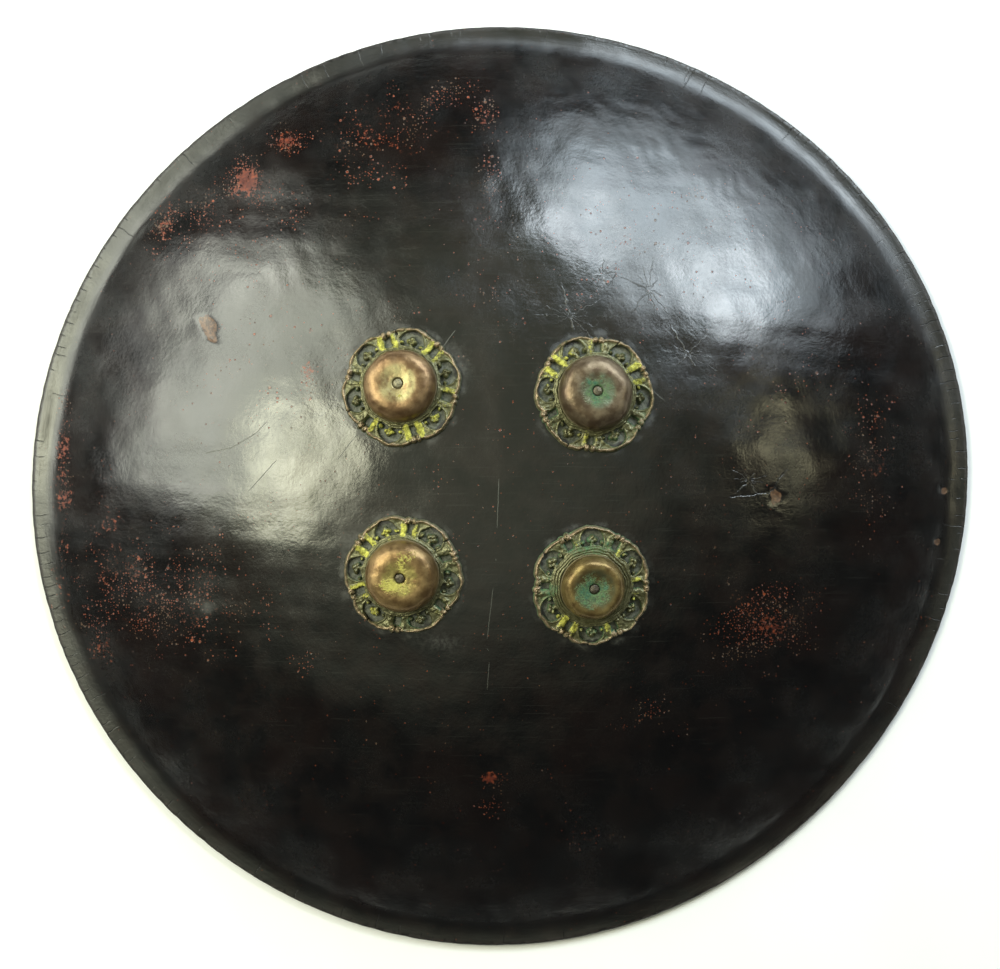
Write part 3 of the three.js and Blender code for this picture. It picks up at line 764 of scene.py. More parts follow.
# Local points of a boss (across, along, out) to the shield's own place.
def placed(name, points):
    middle, across, along, out = bossFrame(name)
    basis = np.array([across, along, out])
    return points @ basis + np.array(middle) + np.array([axisX, axisY, 0])


# How far out of the boss's flat frame the uneven hide lies at each local point.
def hideUnder(name, u, v):
    middle, across, along, out = (np.array(part) for part in bossFrame(name))
    w = np.zeros(len(u))
    for _ in range(4):
        spot = middle + u[:, None] * across + v[:, None] * along + w[:, None] * out
        w = w + (reliefHeight(spot[:, 0], spot[:, 1]) - spot[:, 2]) * out[2]
    return w


rosette = {
    "step": 0.3, "lift": 0.08, "hole": 2.45,
    # the horseshoe opening of a lobe, and the small one between two lobes
    "horse": {"at": 23.0, "radius": 5.9}, "slot": {"low": 21.4, "high": 25.9, "half": 1.45}, "ring": 20.7,
    # the trefoil bud on each inner ring: radius, side, half width
    "bud": [(21.4, 0, 1.2), (22.6, 0, 1.3), (23.5, 1.5, 1.45), (24.7, 0, 1.55), (22.0, 5.0, 1.15)],
    # radius, wire, height
    "collars": [(16.7, 0.5, 2.75), (18.0, 0.45, 2.85), (19.35, 0.5, 2.75), (20.5, 0.6, 2.0)],
}


# Distance of each point from a straight run between two others.
def segmentDistance(px, py, ax, ay, bx, by):
    dx, dy = bx - ax, by - ay
    t = np.clip(((px - ax) * dx + (py - ay) * dy) / (dx * dx + dy * dy), 0, 1)
    return np.hypot(px - ax - t * dx, py - ay - t * dy)


# Height, plan distance inside the metal, and masks of one rosette at local points.
def rosetteForm(name, u, v):
    boss = bosses[name]
    seed = 100 + 10 * sides.index(name)
    wu = u + 0.26 * ripples(u, v, 11, seed) + 0.10 * ripples(u, v, 4.5, seed + 1)
    wv = v + 0.26 * ripples(u, v, 11, seed + 2) + 0.10 * ripples(u, v, 4.5, seed + 3)
    radius = np.hypot(wu, wv)
    turn = np.degrees(np.arctan2(wv, wu)) - boss["turn"]
    phi = np.abs(turn - 60 * np.round(turn / 60))
    px, py = radius * np.cos(np.radians(phi)), radius * np.sin(np.radians(phi))
    horse, slot = rosette["horse"], rosette["slot"]
    arc = 30.55 - 1.5 * (phi / 24.4) ** 3  # the scroll that closes each lobe
    bead = 1.75 - np.hypot(px - 28.0 * math.cos(0.472), py - 28.0 * math.sin(0.472))
    outline = np.maximum(np.where(phi < 24.2, arc, 28.0 - 2.2 * smoothStep(28.4, 30, phi)) - radius, bead)
    fromHorse = np.hypot(px - horse["at"], py) - horse["radius"]
    ring = rosette["ring"] - radius
    bud = np.maximum.reduce([wide - np.hypot(px - at, py - side) for at, side, wide in rosette["bud"]])
    c, sn = math.cos(tau / 12), math.sin(tau / 12)
    along, aside = px * c + py * sn, np.abs(py * c - px * sn)
    fromSlot = np.maximum(np.maximum(slot["low"] - along, along - slot["high"]), aside - slot["half"])
    form = np.minimum(np.minimum(outline, np.maximum.reduce([fromHorse, ring, bud])), fromSlot)
    past = smoothStep(20.6, 21.6, radius)
    postLine = segmentDistance(px, py, 21 * math.cos(0.37), 21 * math.sin(0.37),
                               27 * math.cos(0.39), 27 * math.sin(0.39))
    masks = {
        "post": np.maximum(smoothStep(2.0, 0.8, postLine), smoothStep(-0.2, 0.7, bud) * past),
        "rim": smoothStep(0.15, 0.6, outline) * smoothStep(2.1, 1.2, outline) * past,
    }
    top = 1.7 + 0.95 * np.exp(-((outline - 1.05) / 0.62) ** 2)
    top = top + 0.45 * past * np.exp(-((fromHorse - 0.6) / 0.5) ** 2)
    top = top + 0.55 * past * smoothStep(1.9, 0.4, postLine)
    top = top + 0.9 * past * np.clip(bud, 0, 1.2) * (fromHorse < 0.3)
    top = top + 0.7 * smoothStep(0.2, 1.5, bead)
    top = top - 0.95 * (1 - np.clip(form / 0.75, 0, 1)) ** 2
    top = np.where(radius < 20.9, np.maximum(top, lerp(2.75, 1.6, smoothStep(19.2, 20.9, radius))), top)
    for ringRadius, wire, middle in rosette["collars"]:
        crest = np.sqrt(np.maximum(wire ** 2 - (radius - ringRadius) ** 2, 0))
        top = np.where(crest > 0, np.maximum(top, middle + crest), top)
    plan = np.hypot(u, v)
    grain = 0.035 * ripples(u, v, 1.7, seed + 4) + 0.075 * ripples(u, v, 3.4, seed + 5)
    top = top + grain * smoothStep(18.2, 20.5, plan)
    top = top + 0.16 * masks["post"] * np.maximum(ripples(u, v, 2.1, seed + 6), -0.5)
    crack = np.zeros(u.shape)
    for heading in boss["cracks"]:
        a = math.radians(heading)
        side = np.abs(v * math.cos(a) - u * math.sin(a) + 0.25 * ripples(u, v, 3, seed + 7))
        here = (u * math.cos(a) + v * math.sin(a) > 0) * smoothStep(26.3, 27.2, plan)
        crack = np.maximum(crack, here * smoothStep(0.5, 0.15, side))
    top = top - 0.9 * crack
    return np.maximum(top, 0.35), form, masks, crack


def buildRosette(name, material):
    step = rosette["step"]
    line = np.arange(-32.1, 32.2, step)
    count = len(line)
    u, v = (grid.ravel() for grid in np.meshgrid(line, line, indexing="ij"))
    _, form, _, _ = rosetteForm(name, u, v)
    form = np.minimum(form, np.hypot(u, v) - rosette["hole"])
    field = form.reshape(count, count)
    solid = (field[:-1, :-1] + field[1:, :-1] + field[1:, 1:] + field[:-1, 1:]) / 4 > 0
    index = np.arange(count * count).reshape(count, count)
    cells = np.stack([index[:-1, :-1], index[1:, :-1], index[1:, 1:], index[:-1, 1:]], -1)[solid]
    edges = np.concatenate([cells[:, [k, (k + 1) % 4]] for k in range(4)])
    key, back = edges[:, 0] * count * count + edges[:, 1], edges[:, 1] * count * count + edges[:, 0]
    rim = edges[~np.isin(key, back)]
    gradU, gradV = np.gradient(field, step)
    gradU, gradV = gradU.ravel(), gradV.ravel()
    onRim = np.unique(rim)
    square = np.maximum(gradU[onRim] ** 2 + gradV[onRim] ** 2, 0.2)
    shift = np.clip(form[onRim] / square, -0.32, 0.32)
    u, v = u.copy(), v.copy()
    u[onRim] -= shift * gradU[onRim]
    v[onRim] -= shift * gradV[onRim]
    used = np.unique(cells)
    renumber = np.full(count * count, -1)
    renumber[used] = np.arange(len(used))
    cells, rim = renumber[cells], renumber[rim]
    u, v = u[used], v[used]
    top, _, masks, crack = rosetteForm(name, u, v)
    hide = hideUnder(name, u, v)
    fall = hide * smoothStep(17.5, 21.5, np.hypot(u, v))
    upper = np.stack([u, v, top + fall + 0.05], 1)
    lower = np.stack([u, v, hide + rosette["lift"]], 1)
    points = placed(name, np.concatenate([upper, lower]))
    n = len(used)
    walls = np.stack([rim[:, 1], rim[:, 0], rim[:, 0] + n, rim[:, 1] + n], 1)
    boss = bosses[name]
    # Low pockets of the face and the underside get a mask that darkens them as painted shade; the same mask
    # also places the green patina and dulls the metal there.
    under = {"rim": 0, "post": 0.3, "crack": 0, "hollowShadeAndPatina": 1}
    over = {"rim": masks["rim"], "post": masks["post"], "crack": crack, "hollowShadeAndPatina": smoothStep(1.85, 1.15, top)}
    tags = {key: np.concatenate([over[key], np.full(n, under[key])]) for key in under}
    for key in ("green", "gold"):
        tags[key] = np.tile(patchField(u, v, boss[key]), 2)
    piece = meshPiece("pierced_rosette_" + name, points, [cells, cells[:, ::-1] + n, walls], tags, [material])
    settle(piece, "rosette_" + name)


def makeBrass():
    material, s, surface = newMaterial("castBrass")
    place = s.place()
    hollowShadeAndPatina, rim, post, gold = s.tag("hollowShadeAndPatina"), s.tag("rim"), s.tag("post"), s.tag("gold")
    patina = s.group(copperPatina, Place=place, Hollow=hollowShadeAndPatina, Green=s.tag("green"),
                     Residue=s.times(gold, s.plus(0.55, s.times(post, 0.8))))
    tone = s.noise(place, 0.5, 3.0, 0.6, solid=True)
    colour = s.mix(s.levels(tone, 0.35, 0.65), (0.080, 0.076, 0.034), (0.150, 0.142, 0.074))
    colour = s.mix(s.times(rim, s.levels(tone, 0.3, 0.55)), colour, (0.27, 0.195, 0.12))
    # painted shade: the low pockets are darkened towards dark olive
    colour = s.mix(s.times(hollowShadeAndPatina, 0.75), colour, (0.040, 0.050, 0.024))
    colour = s.mix(s.times(patina["Green Mask"], s.math("SUBTRACT", 1.0, s.times(rim, 0.75))), colour,
                   patina["Green Colour"])
    yellow = s.times(patina["Residue Mask"], s.levels(hollowShadeAndPatina, 0.0, 1.0, 1.0, 0.4, smooth=False),
                     s.levels(gold, 0.1, 0.5))
    polish = s.mix(s.levels(tone, 0.35, 0.65), (0.20, 0.19, 0.02), (0.56, 0.54, 0.09))
    colour = s.mix(s.times(yellow, 0.85), colour, polish)
    colour = s.mix(s.tag("crack"), colour, (0.01, 0.008, 0.005))
    s.feed(surface.inputs["Base Color"], colour)
    dull = s.most(patina["Green Mask"], yellow, s.times(hollowShadeAndPatina, 0.8))
    s.feed(surface.inputs["Metallic"], s.levels(dull, 0.0, 0.8, 0.55, 0.0))
    uneven = s.times(s.math("SUBTRACT", tone, 0.5), 0.25)
    s.feed(surface.inputs["Roughness"], s.plus(s.levels(dull, 0.0, 1.0, 0.38, 0.85), uneven))
    height = s.plus(s.times(patina["Lumps"], s.levels(dull, 0.0, 1.0, 0.06, 0.22)),
                    s.times(s.noise(place, 2.2, 2.0, 0.6, solid=True), 0.05))
    s.feed(surface.inputs["Normal"], s.bump(height, 0.001))
    return material


cap = {"base": 3.4, "height": 10.4, "pitDepth": 1.3, "hole": 2.45, "segments": 144}


# Skin turned round a boss's own axis from (radius, height) pairs that rise on the outer side, so that
# its faces look outward; closed joins the last pair to the first.
def turnedSkin(profile, segments, closed):
    rows = len(profile)
    angles = np.arange(segments) * tau / segments
    radius, height = np.array(profile).T
    u = (radius[:, None] * np.cos(angles)).ravel()
    v = (radius[:, None] * np.sin(angles)).ravel()
    w = np.repeat(height, segments)
    quads = []
    k = np.arange(segments)
    after = (k + 1) % segments
    for i in range(rows if closed else rows - 1):
        a, b = i * segments, ((i + 1) % rows) * segments
        quads.append(np.stack([a + k, a + after, b + after, b + k], 1))
    return np.stack([u, v, w], 1), np.concatenate(quads)


def capProfile(radius, dish, dishDepth):
    top = cap["base"] + cap["height"]
    floor = top - dishDepth
    pairs = [(cap["hole"], floor - cap["pitDepth"])]
    pairs += [(r, floor + h) for r, h in (
        (2.62, -1.1), (2.75, -0.7), (2.85, -0.3), (3.05, -0.06), (3.4, 0.02))]
    for r in np.linspace(3.9, dish, 12):
        pairs.append((r, floor + dishDepth * smoothStep(dish * 0.15, dish * 1.06, r) * 0.93))
    bodyTop, bodyBase = pairs[-1][1], cap["base"] + 0.9
    for t in np.linspace(0.06, 1, 30):
        a = t * tau / 4
        pairs.append((dish + (radius - dish) * math.sin(a) ** 0.86,
                      bodyBase + (bodyTop - bodyBase) * math.cos(a) ** 0.80))
    pairs += [(radius + more, cap["base"] + h) for more, h in (
        (-0.10, 0.65), (-0.05, 0.50), (0.38, 0.42), (0.42, 0.18), (0.3, 0))]
    return pairs + [(radius * 0.6, cap["base"]), (cap["hole"], cap["base"])]


def makeCopper(name):
    boss = bosses[name]
    material, s, surface = newMaterial("rubbedCopper_" + name)
    place = s.place()
    green, gold, foot, dish = s.tag("green"), s.tag("gold"), s.tag("foot"), s.tag("dish")
    patina = s.group(copperPatina, Place=place, Hollow=s.times(dish, 0.2), Green=green, Residue=gold)
    cloud = s.noise(place, 0.16, 4.0, 0.6, solid=True)
    fine = s.noise(place, 1.4, 3.0, 0.6, solid=True)
    deep = tuple(c * f for c, f in zip(boss["copper"], (0.58, 0.52, 0.50)))
    colour = s.mix(s.levels(cloud, 0.36, 0.64), deep, boss["copper"])
    colour = s.mix(s.times(dish, s.levels(cloud, 0.3, 0.6), 0.8), colour, boss["core"])
    colour = s.mix(s.times(s.levels(fine, 0.55, 0.72), 0.35), colour, (0.05, 0.03, 0.02))
    greenMask = s.times(patina["Green Mask"], s.levels(green, 0.06, 0.4))
    goldMask = s.times(patina["Residue Mask"], s.levels(gold, 0.1, 0.5))
    colour = s.mix(greenMask, colour, patina["Green Colour"])
    colour = s.mix(goldMask, colour, s.mix(fine, (0.24, 0.20, 0.03), (0.48, 0.44, 0.10)))
    colour = s.mix(s.times(foot, 0.75), colour, (0.07, 0.058, 0.024))
    s.feed(surface.inputs["Base Color"], colour)
    dull = s.most(greenMask, goldMask, s.times(foot, 0.7))
    s.feed(surface.inputs["Metallic"], s.levels(dull, 0.0, 1.0, 0.72, 0.05))
    scuffs = s.group(rubbedScuffs, Place=place, Scale=1.6, Amount=0.6)["Mask"]
    rough = s.plus(s.levels(cloud, 0.3, 0.7, 0.33, 0.46), s.plus(s.times(scuffs, 0.08), s.times(dull, 0.4)))
    s.feed(surface.inputs["Roughness"], rough)
    height = s.plus(s.times(s.noise(place, 0.45, 2.0, 0.5, solid=True), 0.10), s.times(fine, 0.022))
    height = s.plus(height, s.times(dull, patina["Lumps"], 0.28))
    s.feed(surface.inputs["Normal"], s.bump(height, 0.001))
    return material


def buildCap(name):
    boss = bosses[name]
    seed = 200 + 10 * sides.index(name)
    points, quads = turnedSkin(capProfile(boss["radius"], boss["dish"], boss["dishDepth"])[::-1],
                               cap["segments"], True)
    u, v, w = points.T
    radius = np.hypot(u, v)
    raised = smoothStep(cap["base"] + 0.6, cap["base"] + 4, w) * smoothStep(3.2, 6, radius)
    push = raised * (0.16 * ripples(u, v, 15, seed) + 0.055 * ripples(u, v, 6, seed + 1)
                     + 0.018 * ripples(u, v, 2.6, seed + 2))
    lean = smoothStep(0, boss["radius"], radius)
    out = 1 + 0.009 * np.cos(2 * np.arctan2(v, u) + seed) * lean
    spread = out + push * lean / radius
    u, v, w = u * spread, v * spread, w + push * (1 - 0.7 * lean)
    tags = {
        "green": patchField(u, v, boss["capGreen"]), "gold": patchField(u, v, boss["capGold"]),
        "foot": smoothStep(cap["base"] + 1.5, cap["base"] + 0.3, w),
        "dish": smoothStep(boss["dish"] * 1.08, boss["dish"] * 0.8, radius),
    }
    points = placed(name, np.stack([u, v, w], 1))
    piece = meshPiece("domed_cap_" + name, points, [quads], tags, [makeCopper(name)])
    settle(piece, "cap_" + name)


castBrass = makeBrass()
for name in sides:
    buildRosette(name, castBrass)
    buildCap(name)
print("rosettes and caps built")


iron = {
    "thickness": 5, "washerGap": 0.5, "washer": 1.6, "washerRadius": 9, "boltRadius": 2,
    "eyeRadius": 6.25, "eyeWire": 1.75, "ringRadius": 15, "ringWire": 2, "gap": 0.3,
}
iron["eyeDrop"] = (iron["thickness"] + iron["washerGap"] + iron["washer"] + iron["gap"]
                   + iron["eyeRadius"] + iron["eyeWire"])


# Hand-forged wire bent round; the hole runs along the third axis.
def wireRing(radius, wire, seed, around=96, through=20):
    a = (np.arange(around) * tau / around)[:, None]
    b = (np.arange(through) * tau / through)[None, :]
    thick = wire * (1 + 0.035 * np.sin(3 * a + seed) + 0.025 * np.sin(7 * a + 2 * seed))
    bent = radius + 0.12 * np.sin(2 * a + seed)
    u = (bent + thick * np.cos(b)) * np.cos(a)
    v = (bent + thick * np.cos(b)) * np.sin(a)
    w = thick * np.sin(b)
    i, j = np.meshgrid(np.arange(around), np.arange(through), indexing="ij")
    nextI, nextJ = (i + 1) % around, (j + 1) % through
    quads = np.stack([i * through + j, nextI * through + j, nextI * through + nextJ,
                      i * through + nextJ], -1)
    return np.stack([u.ravel(), v.ravel(), w.ravel()], 1), quads.reshape(-1, 4)


def merged(parts):
    points, faces, start = [], [], 0
    for somePoints, someFaces in parts:
        points.append(somePoints)
        faces.append(someFaces + start)
        start += len(somePoints)
    return np.concatenate(points), faces


def makeIron():
    material, s, surface = newMaterial("forgedIron")
    place = s.place()
    cloud = s.noise(place, 0.12, 4.0, 0.6, solid=True)
    scale = s.noise(place, 0.9, 4.0, 0.65, solid=True)
    rust = s.levels(s.plus(s.times(cloud, 0.6), s.times(scale, 0.5)), 0.56, 0.70)
    colour = s.mix(s.levels(scale, 0.35, 0.65), (0.030, 0.027, 0.025), (0.085, 0.078, 0.072))
    colour = s.mix(rust, colour, s.mix(scale, (0.075, 0.028, 0.012), (0.15, 0.062, 0.026)))
    s.feed(surface.inputs["Base Color"], colour)
    s.feed(surface.inputs["Metallic"], s.levels(rust, 0.0, 1.0, 0.85, 0.0))
    s.feed(surface.inputs["Roughness"], s.levels(rust, 0.0, 1.0, 0.42, 0.85))
    s.feed(surface.inputs["Normal"], s.bump(s.plus(s.times(scale, 0.14), s.times(rust, scale, 0.2)), 0.001))
    return material


# The riveted tip shows in front in each cap's pit, so it takes a little of the cap's colour.
def makeRivet(name):
    material, s, surface = newMaterial("rivetTip_" + name)
    place = s.place()
    grain = s.noise(place, 1.6, 3.0, 0.6, solid=True)
    pale = bosses[name]["rivet"]
    bright = tuple(lerp(a, b, pale) for a, b in zip((0.075, 0.06, 0.045), (0.40, 0.36, 0.22)))
    dark = tuple(c * 0.45 for c in bright)
    s.feed(surface.inputs["Base Color"], s.mix(s.levels(grain, 0.35, 0.65), dark, bright))
    surface.inputs["Metallic"].default_value = 0.5
    s.feed(surface.inputs["Roughness"], s.levels(grain, 0.3, 0.7, 0.42, 0.6))
    s.feed(surface.inputs["Normal"], s.bump(s.times(grain, 0.12), 0.001))
    return material


def buildBolt(name, material):
    tip = cap["base"] + cap["height"] - bosses[name]["dishDepth"]
    top = -iron["eyeDrop"] + iron["eyeRadius"]
    r = iron["boltRadius"]
    profile = [(0.0, top - 0.9), (r * 1.15, top - 0.9), (r * 1.15, top + 0.6), (r, top + 1.4)]
    profile += [(wide, tip - down) for wide, down in (
        (r, 2.2), (2.35, 1.25), (2.42, 0.85), (2.2, 0.45), (1.6, 0.13), (0.8, 0.02), (0.0, 0.0))]
    shank, shankFaces = turnedSkin(profile, 40, False)
    seed = 7 + sides.index(name)
    dent = smoothStep(tip - 1.4, tip - 0.6, shank[:, 2])
    shank[:, 2] += dent * (0.08 * ripples(shank[:, 0], shank[:, 1], 2.2, 300 + seed) - 0.05)
    eye, eyeFaces = wireRing(iron["eyeRadius"], iron["eyeWire"], seed)
    eye = np.stack([eye[:, 2], eye[:, 1], eye[:, 0] - iron["eyeDrop"]], 1)  # hole along the boss's own X
    points, faces = merged([(shank, shankFaces), (eye, eyeFaces[:, ::-1])])
    inFront = np.concatenate([np.repeat(shankFaces[:, 0] // 40 >= 4, 1), np.zeros(len(eyeFaces), bool)])
    piece = meshPiece("forged_ring_bolt_" + name, placed(name, points), faces,
                      materials=[material, makeRivet(name)], faceMaterial=inFront.astype(int))
    settle(piece, "ring_bolt_" + name)


def buildWasher(name, material):
    top = -iron["thickness"] - iron["washerGap"]
    low, r = top - iron["washer"], iron["washerRadius"]
    profile = [(2.45, low + 0.1), (2.6, low), (4.5, low + 0.02), (6.5, low + 0.04), (r - 0.7, low + 0.12),
               (r - 0.2, low + 0.4), (r, low + 0.8), (r - 0.1, top - 0.25), (r - 0.4, top), (5.0, top),
               (2.45, top)]
    points, quads = turnedSkin(profile, 72, True)
    seed = 400 + sides.index(name)
    u, v, w = points.T
    heading = np.arctan2(v, u)
    uneven = 0.02 * np.sin(3 * heading + seed) + 0.012 * np.sin(8 * heading + seed)
    out = 1 + smoothStep(3, r, np.hypot(u, v)) * uneven
    w = w - 0.10 * np.abs(ripples(u, v, 5, seed)) * (w < low + 0.5)
    points = placed(name, np.stack([u * out, v * out, w], 1))
    piece = meshPiece("hammered_washer_" + name, points, [quads], materials=[material])
    settle(piece, "washer_" + name)


# Middle of a hanging ring, its wire resting in the bottom of the eye.
def ringMiddle(name):
    middle, _, _, out = bossFrame(name)
    eye = np.array(middle - out * iron["eyeDrop"]) + np.array([axisX, axisY, 0])
    slack = iron["eyeRadius"] - iron["eyeWire"] - iron["ringWire"] - 0.5
    return eye - np.array([0, 0, slack + iron["ringRadius"]])


def buildRing(name, material):
    points, quads = wireRing(iron["ringRadius"], iron["ringWire"], 11 + sides.index(name), 144, 24)
    points = np.stack([points[:, 0], points[:, 2], points[:, 1]], 1) + ringMiddle(name)
    piece = meshPiece("grip_ring_wire_" + name, points, [quads[:, ::-1]], materials=[material])
    settle(piece, "grip_ring_" + name)


forgedIron = makeIron()
for name in sides:
    buildBolt(name, forgedIron)
    buildWasher(name, forgedIron)
    buildRing(name, forgedIron)
print("bolts, washers and rings built")


strap = {
    "loopInner": 3.4, "leather": 3.0, "endWidth": 11, "width": 22, "thickness": 6.4, "sag": 8, "bow": 14,
    "stations": 150, "corners": 56, "stitchStep": 5.0,
}


def makeLeather():
    material, s, surface = newMaterial("oldStrapLeather")
    place = s.place()
    worn, crease = s.tag("worn"), s.tag("crease")
    cloud = s.noise(place, 0.06, 4.0, 0.6, solid=True)
    cells = s.voronoi(place, 0.95, "DISTANCE_TO_EDGE", solid=True).outputs["Distance"]
    grain = s.levels(cells, 0.0, 0.22)
    colour = s.mix(s.levels(cloud, 0.35, 0.65), (0.032, 0.014, 0.008), (0.075, 0.031, 0.015))
    colour = s.mix(s.times(worn, s.levels(cloud, 0.25, 0.55), 0.8), colour, (0.15, 0.072, 0.034))
    colour = s.mix(s.times(s.math("SUBTRACT", 1.0, grain), 0.5), colour, (0.014, 0.007, 0.004))
    colour = s.mix(s.times(crease, 0.7), colour, (0.010, 0.006, 0.004))
    s.feed(surface.inputs["Base Color"], colour)
    s.feed(surface.inputs["Roughness"], s.plus(s.levels(cloud, 0.3, 0.7, 0.46, 0.62), s.times(worn, -0.08)))
    height = s.plus(s.times(grain, 0.10), s.times(s.noise(place, 0.5, 3.0, solid=True), 0.18))
    s.feed(surface.inputs["Normal"], s.bump(height, 0.001))
    return material


def makeThread():
    material, s, surface = newMaterial("waxedThread")
    place = s.place()
    twist = s.put("ShaderNodeTexWave", {"Vector": place, "Scale": 0.8, "Distortion": 1.0},
                  bands_direction="DIAGONAL").outputs["Fac"]
    s.feed(surface.inputs["Base Color"], s.mix(twist, (0.09, 0.062, 0.035), (0.20, 0.15, 0.09)))
    surface.inputs["Roughness"].default_value = 0.65
    s.feed(surface.inputs["Normal"], s.bump(twist, 0.0002))
    return material


# A short stitch lying from a to b, standing a little proud along up.
def stitch(a, b, up, wire=0.42, rows=9, around=8):
    t = np.linspace(0, 1, rows)
    middle = a + (b - a) * t[:, None] + up * (0.45 * np.sin(t * math.pi) - 0.12)[:, None]
    along = (b - a) / np.linalg.norm(b - a)
    side = np.cross(along, up)
    side /= np.linalg.norm(side)
    third = np.cross(side, along)
    wide = wire * np.clip(1.15 * np.abs(np.sin(t * math.pi)) ** 0.35, 0, 1)
    angles = (np.arange(around) * tau / around)[None, :, None]
    section = np.cos(angles) * side + np.sin(angles) * third
    points = (middle[:, None, :] + wide[:, None, None] * section).reshape(-1, 3)
    k = np.arange(around)
    after = (k + 1) % around
    quads = np.concatenate([np.stack([i * around + k, (i + 1) * around + k, (i + 1) * around + after,
                                      i * around + after], 1) for i in range(rows - 1)])
    return points, quads


def buildStrap(side, bowSide, leather, thread):
    upper, lower = ringMiddle("upper_" + side), ringMiddle("lower_" + side)
    run = upper - lower
    length = float(np.linalg.norm(run))
    along = run / length
    # the shortest turn that takes the y axis onto the run
    turn = Vector((0, 1, 0)).rotation_difference(Vector(along)).to_matrix()
    basis = np.array([turn @ Vector(axis) for axis in ((1, 0, 0), (0, 1, 0), (0, 0, 1))])
    middle = (upper + lower) / 2 - np.array([0, 0, iron["ringRadius"] - 0.5])
    seed = 500 if side == "left" else 520
    start = length / 2 - strap["loopInner"] - strap["leather"] / 2

    def spine(t):
        rise = (1 - t * t) ** 1.5
        return np.array([bowSide * strap["bow"] * rise, start * t, -strap["sag"] * rise])

    # padded body, drawn in at both ends where it is bound to the loops
    rows, corners = strap["stations"], strap["corners"]
    angles = np.arange(corners) * tau / corners
    points, crease, worn = [], [], []
    for i in range(rows):
        t = 2 * i / (rows - 1) - 1
        swell = 1 - abs(t) ** 4
        wide = lerp(strap["endWidth"], strap["width"], swell) / 2
        thick = lerp(strap["leather"] * 1.6, strap["thickness"], swell) / 2
        here = spine(t)
        fold = max(0.0, math.sin(t * 34 + 1.3 * math.sin(t * 9 + seed))) ** 6 * (1 - abs(t) ** 8)
        squeeze = 1 - 0.045 * fold
        flat = np.sign(np.cos(angles)) * np.abs(np.cos(angles)) ** 0.82
        tall = np.sign(np.sin(angles)) * np.abs(np.sin(angles)) ** 0.9
        lump = 1 + 0.02 * ripples(angles * 6, np.full(corners, t * 60), 9, seed)
        seam = np.exp(-((angles - 1.5 * math.pi) / 0.10) ** 2)  # butted seam down the back of the grip
        points.append(np.stack([here[0] + wide * flat * squeeze * lump, np.full(corners, here[1]),
                                here[2] + thick * tall * squeeze * lump + 0.55 * seam * swell], 1))
        crease.append(np.maximum(seam, 0.8 * fold * (0.5 + 0.5 * np.cos(3 * angles))))
        worn.append((1 - t * t) * np.abs(np.cos(angles)) ** 3 + 0.3)
    body = np.concatenate(points)
    k = np.arange(corners)
    after = (k + 1) % corners
    quads = np.concatenate([np.stack([i * corners + k, (i + 1) * corners + k, (i + 1) * corners + after,
                                      i * corners + after], 1) for i in range(rows - 1)])
    ends = np.stack([spine(-1), spine(1)])
    caps = np.concatenate([np.stack([np.full(corners, len(body)), k, after], 1),
                           np.stack([np.full(corners, len(body) + 1), (rows - 1) * corners + after,
                                     (rows - 1) * corners + k], 1)])
    body = np.concatenate([body, ends])

    # loop of the same leather round each ring, with rounded edges
    half, inner = strap["endWidth"] / 2, strap["loopInner"]
    outer = inner + strap["leather"]
    profile = [(inner, -half + 0.5), (inner + 0.5, -half), (outer - 0.7, -half), (outer, -half + 0.7),
               (outer + 0.1, 0), (outer, half - 0.7), (outer - 0.7, half), (inner + 0.5, half),
               (inner, half - 0.5)]
    loopPoints, loopFaces = [], []
    for end in (-1, 1):
        ring, ringQuads = turnedSkin(profile, 64, True)
        ring[:, :2] *= (1 + 0.015 * ripples(ring[:, 0], ring[:, 2] * 2, 6, seed + 3 + end))[:, None]
        loopPoints.append(np.stack([ring[:, 2], ring[:, 0] + end * length / 2, ring[:, 1]], 1))
        loopFaces.append(ringQuads)
    stitches = []
    for end in (-1, 1):  # two short rows across the neck, and a cross stitch down the seam
        for row in (0.90, 0.955):
            for x in np.arange(-3.6, 3.7, 1.8):
                here = spine(end * row)
                wide = strap["thickness"] * 0.5 + 0.1
                a = np.array([here[0] + x - 0.55, here[1] - 0.3, here[2] - wide + 0.35])
                stitches.append(stitch(a, a + np.array([1.1, 0.6, 0]), np.array([0, 0, -1.0])))
    for t in np.arange(-0.80, 0.81, strap["stitchStep"] / start):
        here = spine(t)
        swell = 1 - abs(t) ** 4
        thick = lerp(strap["leather"] * 1.6, strap["thickness"], swell) / 2
        base = here + np.array([0, 0, -thick + 0.12])
        stitches.append(stitch(base + np.array([-1.9, -0.9, 0.15]), base + np.array([1.9, 0.9, 0.15]),
                               np.array([0, 0, -1.0])))
    allPoints, allFaces, kinds, count = [body], [caps, quads], [0] * (len(caps) + len(quads)), len(body)
    for somePoints, someFaces, kind in ([(p, f, 0) for p, f in zip(loopPoints, loopFaces)]
                                        + [(p, f, 1) for p, f in stitches]):
        allPoints.append(somePoints)
        allFaces.append(someFaces + count)
        kinds += [kind] * len(someFaces)
        count += len(somePoints)
    joined = np.concatenate(allPoints) @ basis + middle
    spare = len(joined) - rows * corners
    tags = {"crease": np.concatenate([np.concatenate(crease), np.zeros(spare)]),
            "worn": np.concatenate([np.concatenate(worn), np.full(spare, 0.5)])}
    piece = meshPiece("padded_grip_" + side, joined, allFaces, tags, [leather, thread], kinds)
    settle(piece, "grip_strap_" + side)


strapLeather, waxedThread = makeLeather(), makeThread()
buildStrap("left", 1, strapLeather, waxedThread)
buildStrap("right", -1, strapLeather, waxedThread)
print("grip straps built")


